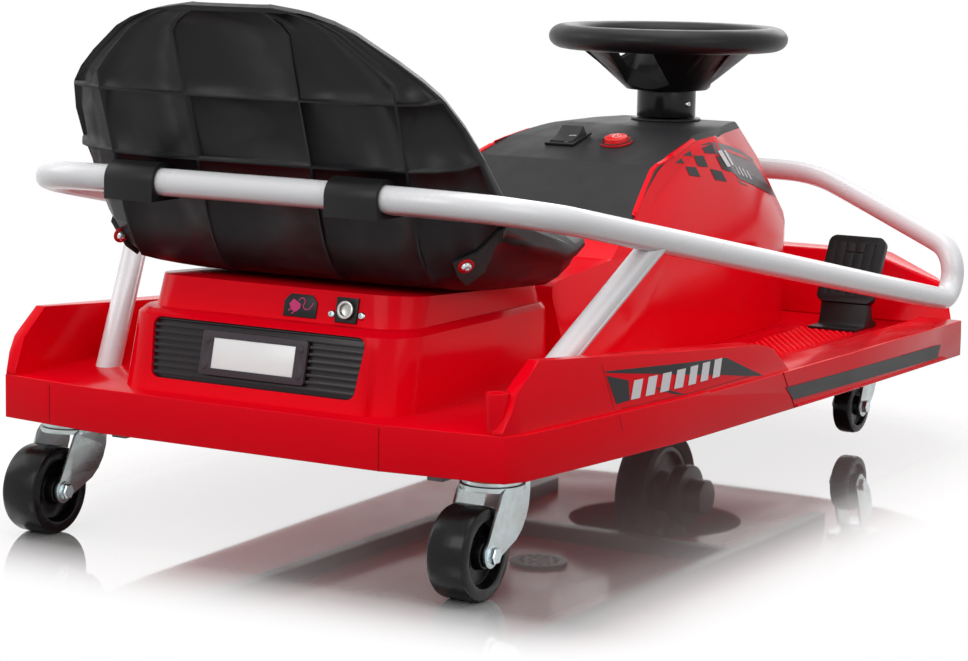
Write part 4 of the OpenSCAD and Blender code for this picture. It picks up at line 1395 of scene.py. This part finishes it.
@dataclass
class Seat:
    """Bucket shell, its clamps on the rail and the lap belt."""

    clamp_edge: float = 0.001

    def build(self) -> None:
        """Builds the seat's pieces."""
        SHOP.moulding("seat_shell", SEAT_BLACK)
        for side in Side:
            tag = side.name.lower()
            SHOP.moulding(f"seat_clamp_{tag}", TRIM_BLACK, edge=self.clamp_edge)
            SHOP.moulding(f"belt_{tag}", BELT_BLACK)


@dataclass
class GuardRail:
    """White tube round the kart, with its two posts."""

    levels: int = 2
    join_degrees: float = 60.0

    def build(self) -> None:
        """Smooths the tube and dresses the posts."""
        bm = SHOP.merged_copy("guard_rail")
        limit = math.radians(self.join_degrees)
        bmesh.ops.join_triangles(bm, faces=bm.faces, angle_face_threshold=limit, angle_shape_threshold=limit)
        rail = SHOP.piece("guard_rail_tube", bm, RAIL_WHITE, sharp_degrees=SHOP.all_smooth)
        round_off = rail.modifiers.new("round", "SUBSURF")
        round_off.levels = round_off.render_levels = self.levels
        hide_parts("guard_rail")
        for side in Side:
            SHOP.moulding(f"guard_post_{side.name.lower()}", RAIL_WHITE)


@dataclass
class Steering:
    """Steering wheel, column and collar."""

    edge: float = 0.0012

    def build(self) -> None:
        """Dresses what the driver steers with."""
        steering = Rider.STEERING.value
        SHOP.moulding("steering_wheel", WHEEL_BLACK, steering, edge=self.edge)
        SHOP.moulding("steering_column", COLUMN_BLACK, steering, edge=self.edge)
        SHOP.moulding("column_collar", TRIM_BLACK, edge=self.edge)


@dataclass
class Drive:
    """Front drive wheel in its fork."""

    edge: float = 0.0012

    def build(self) -> None:
        """Dresses the fork, the motor and the wheel."""
        SHOP.moulding("drive_fork", STEEL_GREY, Rider.STEERING.value, edge=self.edge)
        SHOP.moulding("drive_motor", MOTOR_BLACK, Rider.STEERING.value, edge=self.edge)
        SHOP.moulding("drive_tyre", TYRE_RUBBER, Rider.DRIVE_WHEEL.value, edge=self.edge)
        SHOP.moulding("drive_rim", RIM_GREY, Rider.DRIVE_WHEEL.value, edge=self.edge)


@dataclass
class Casters:
    """The four swivel casters."""

    edge: float = 0.0007

    def build(self) -> None:
        """Dresses the plates, forks and wheels."""
        SHOP.moulding("caster_plates", ZINC, edge=self.edge)
        for corner in CORNERS:
            SHOP.moulding(f"fork_{corner}", ZINC, f"caster_{corner}", edge=self.edge)
            SHOP.moulding(f"wheel_{corner}", CASTER_BLACK, f"caster_wheel_{corner}", edge=self.edge)


@dataclass
class Pedals:
    """The two foot pedals."""

    edge: float = 0.0012

    def build(self) -> None:
        """Dresses both pedals."""
        for side in Side:
            SHOP.moulding(f"pedal_{side.name.lower()}", TRIM_BLACK, edge=self.edge)


def main() -> None:
    """Builds the studio and every sub-assembly in order."""
    logging.basicConfig(level=logging.INFO, format="%(message)s")
    view = bpy.context.scene.view_settings
    view.view_transform = "Standard"
    assemblies = (Studio(), Bodywork(), RearPanel(), Controls(), Seat(), GuardRail(), Steering(), Drive(),
                  Casters(), Pedals(), Stickers(), Seams(), Fasteners(), Marks())
    for assembly in assemblies:
        LOG.info("building %s", type(assembly).__name__)
        assembly.build()


if __name__ == "__main__":
    main()
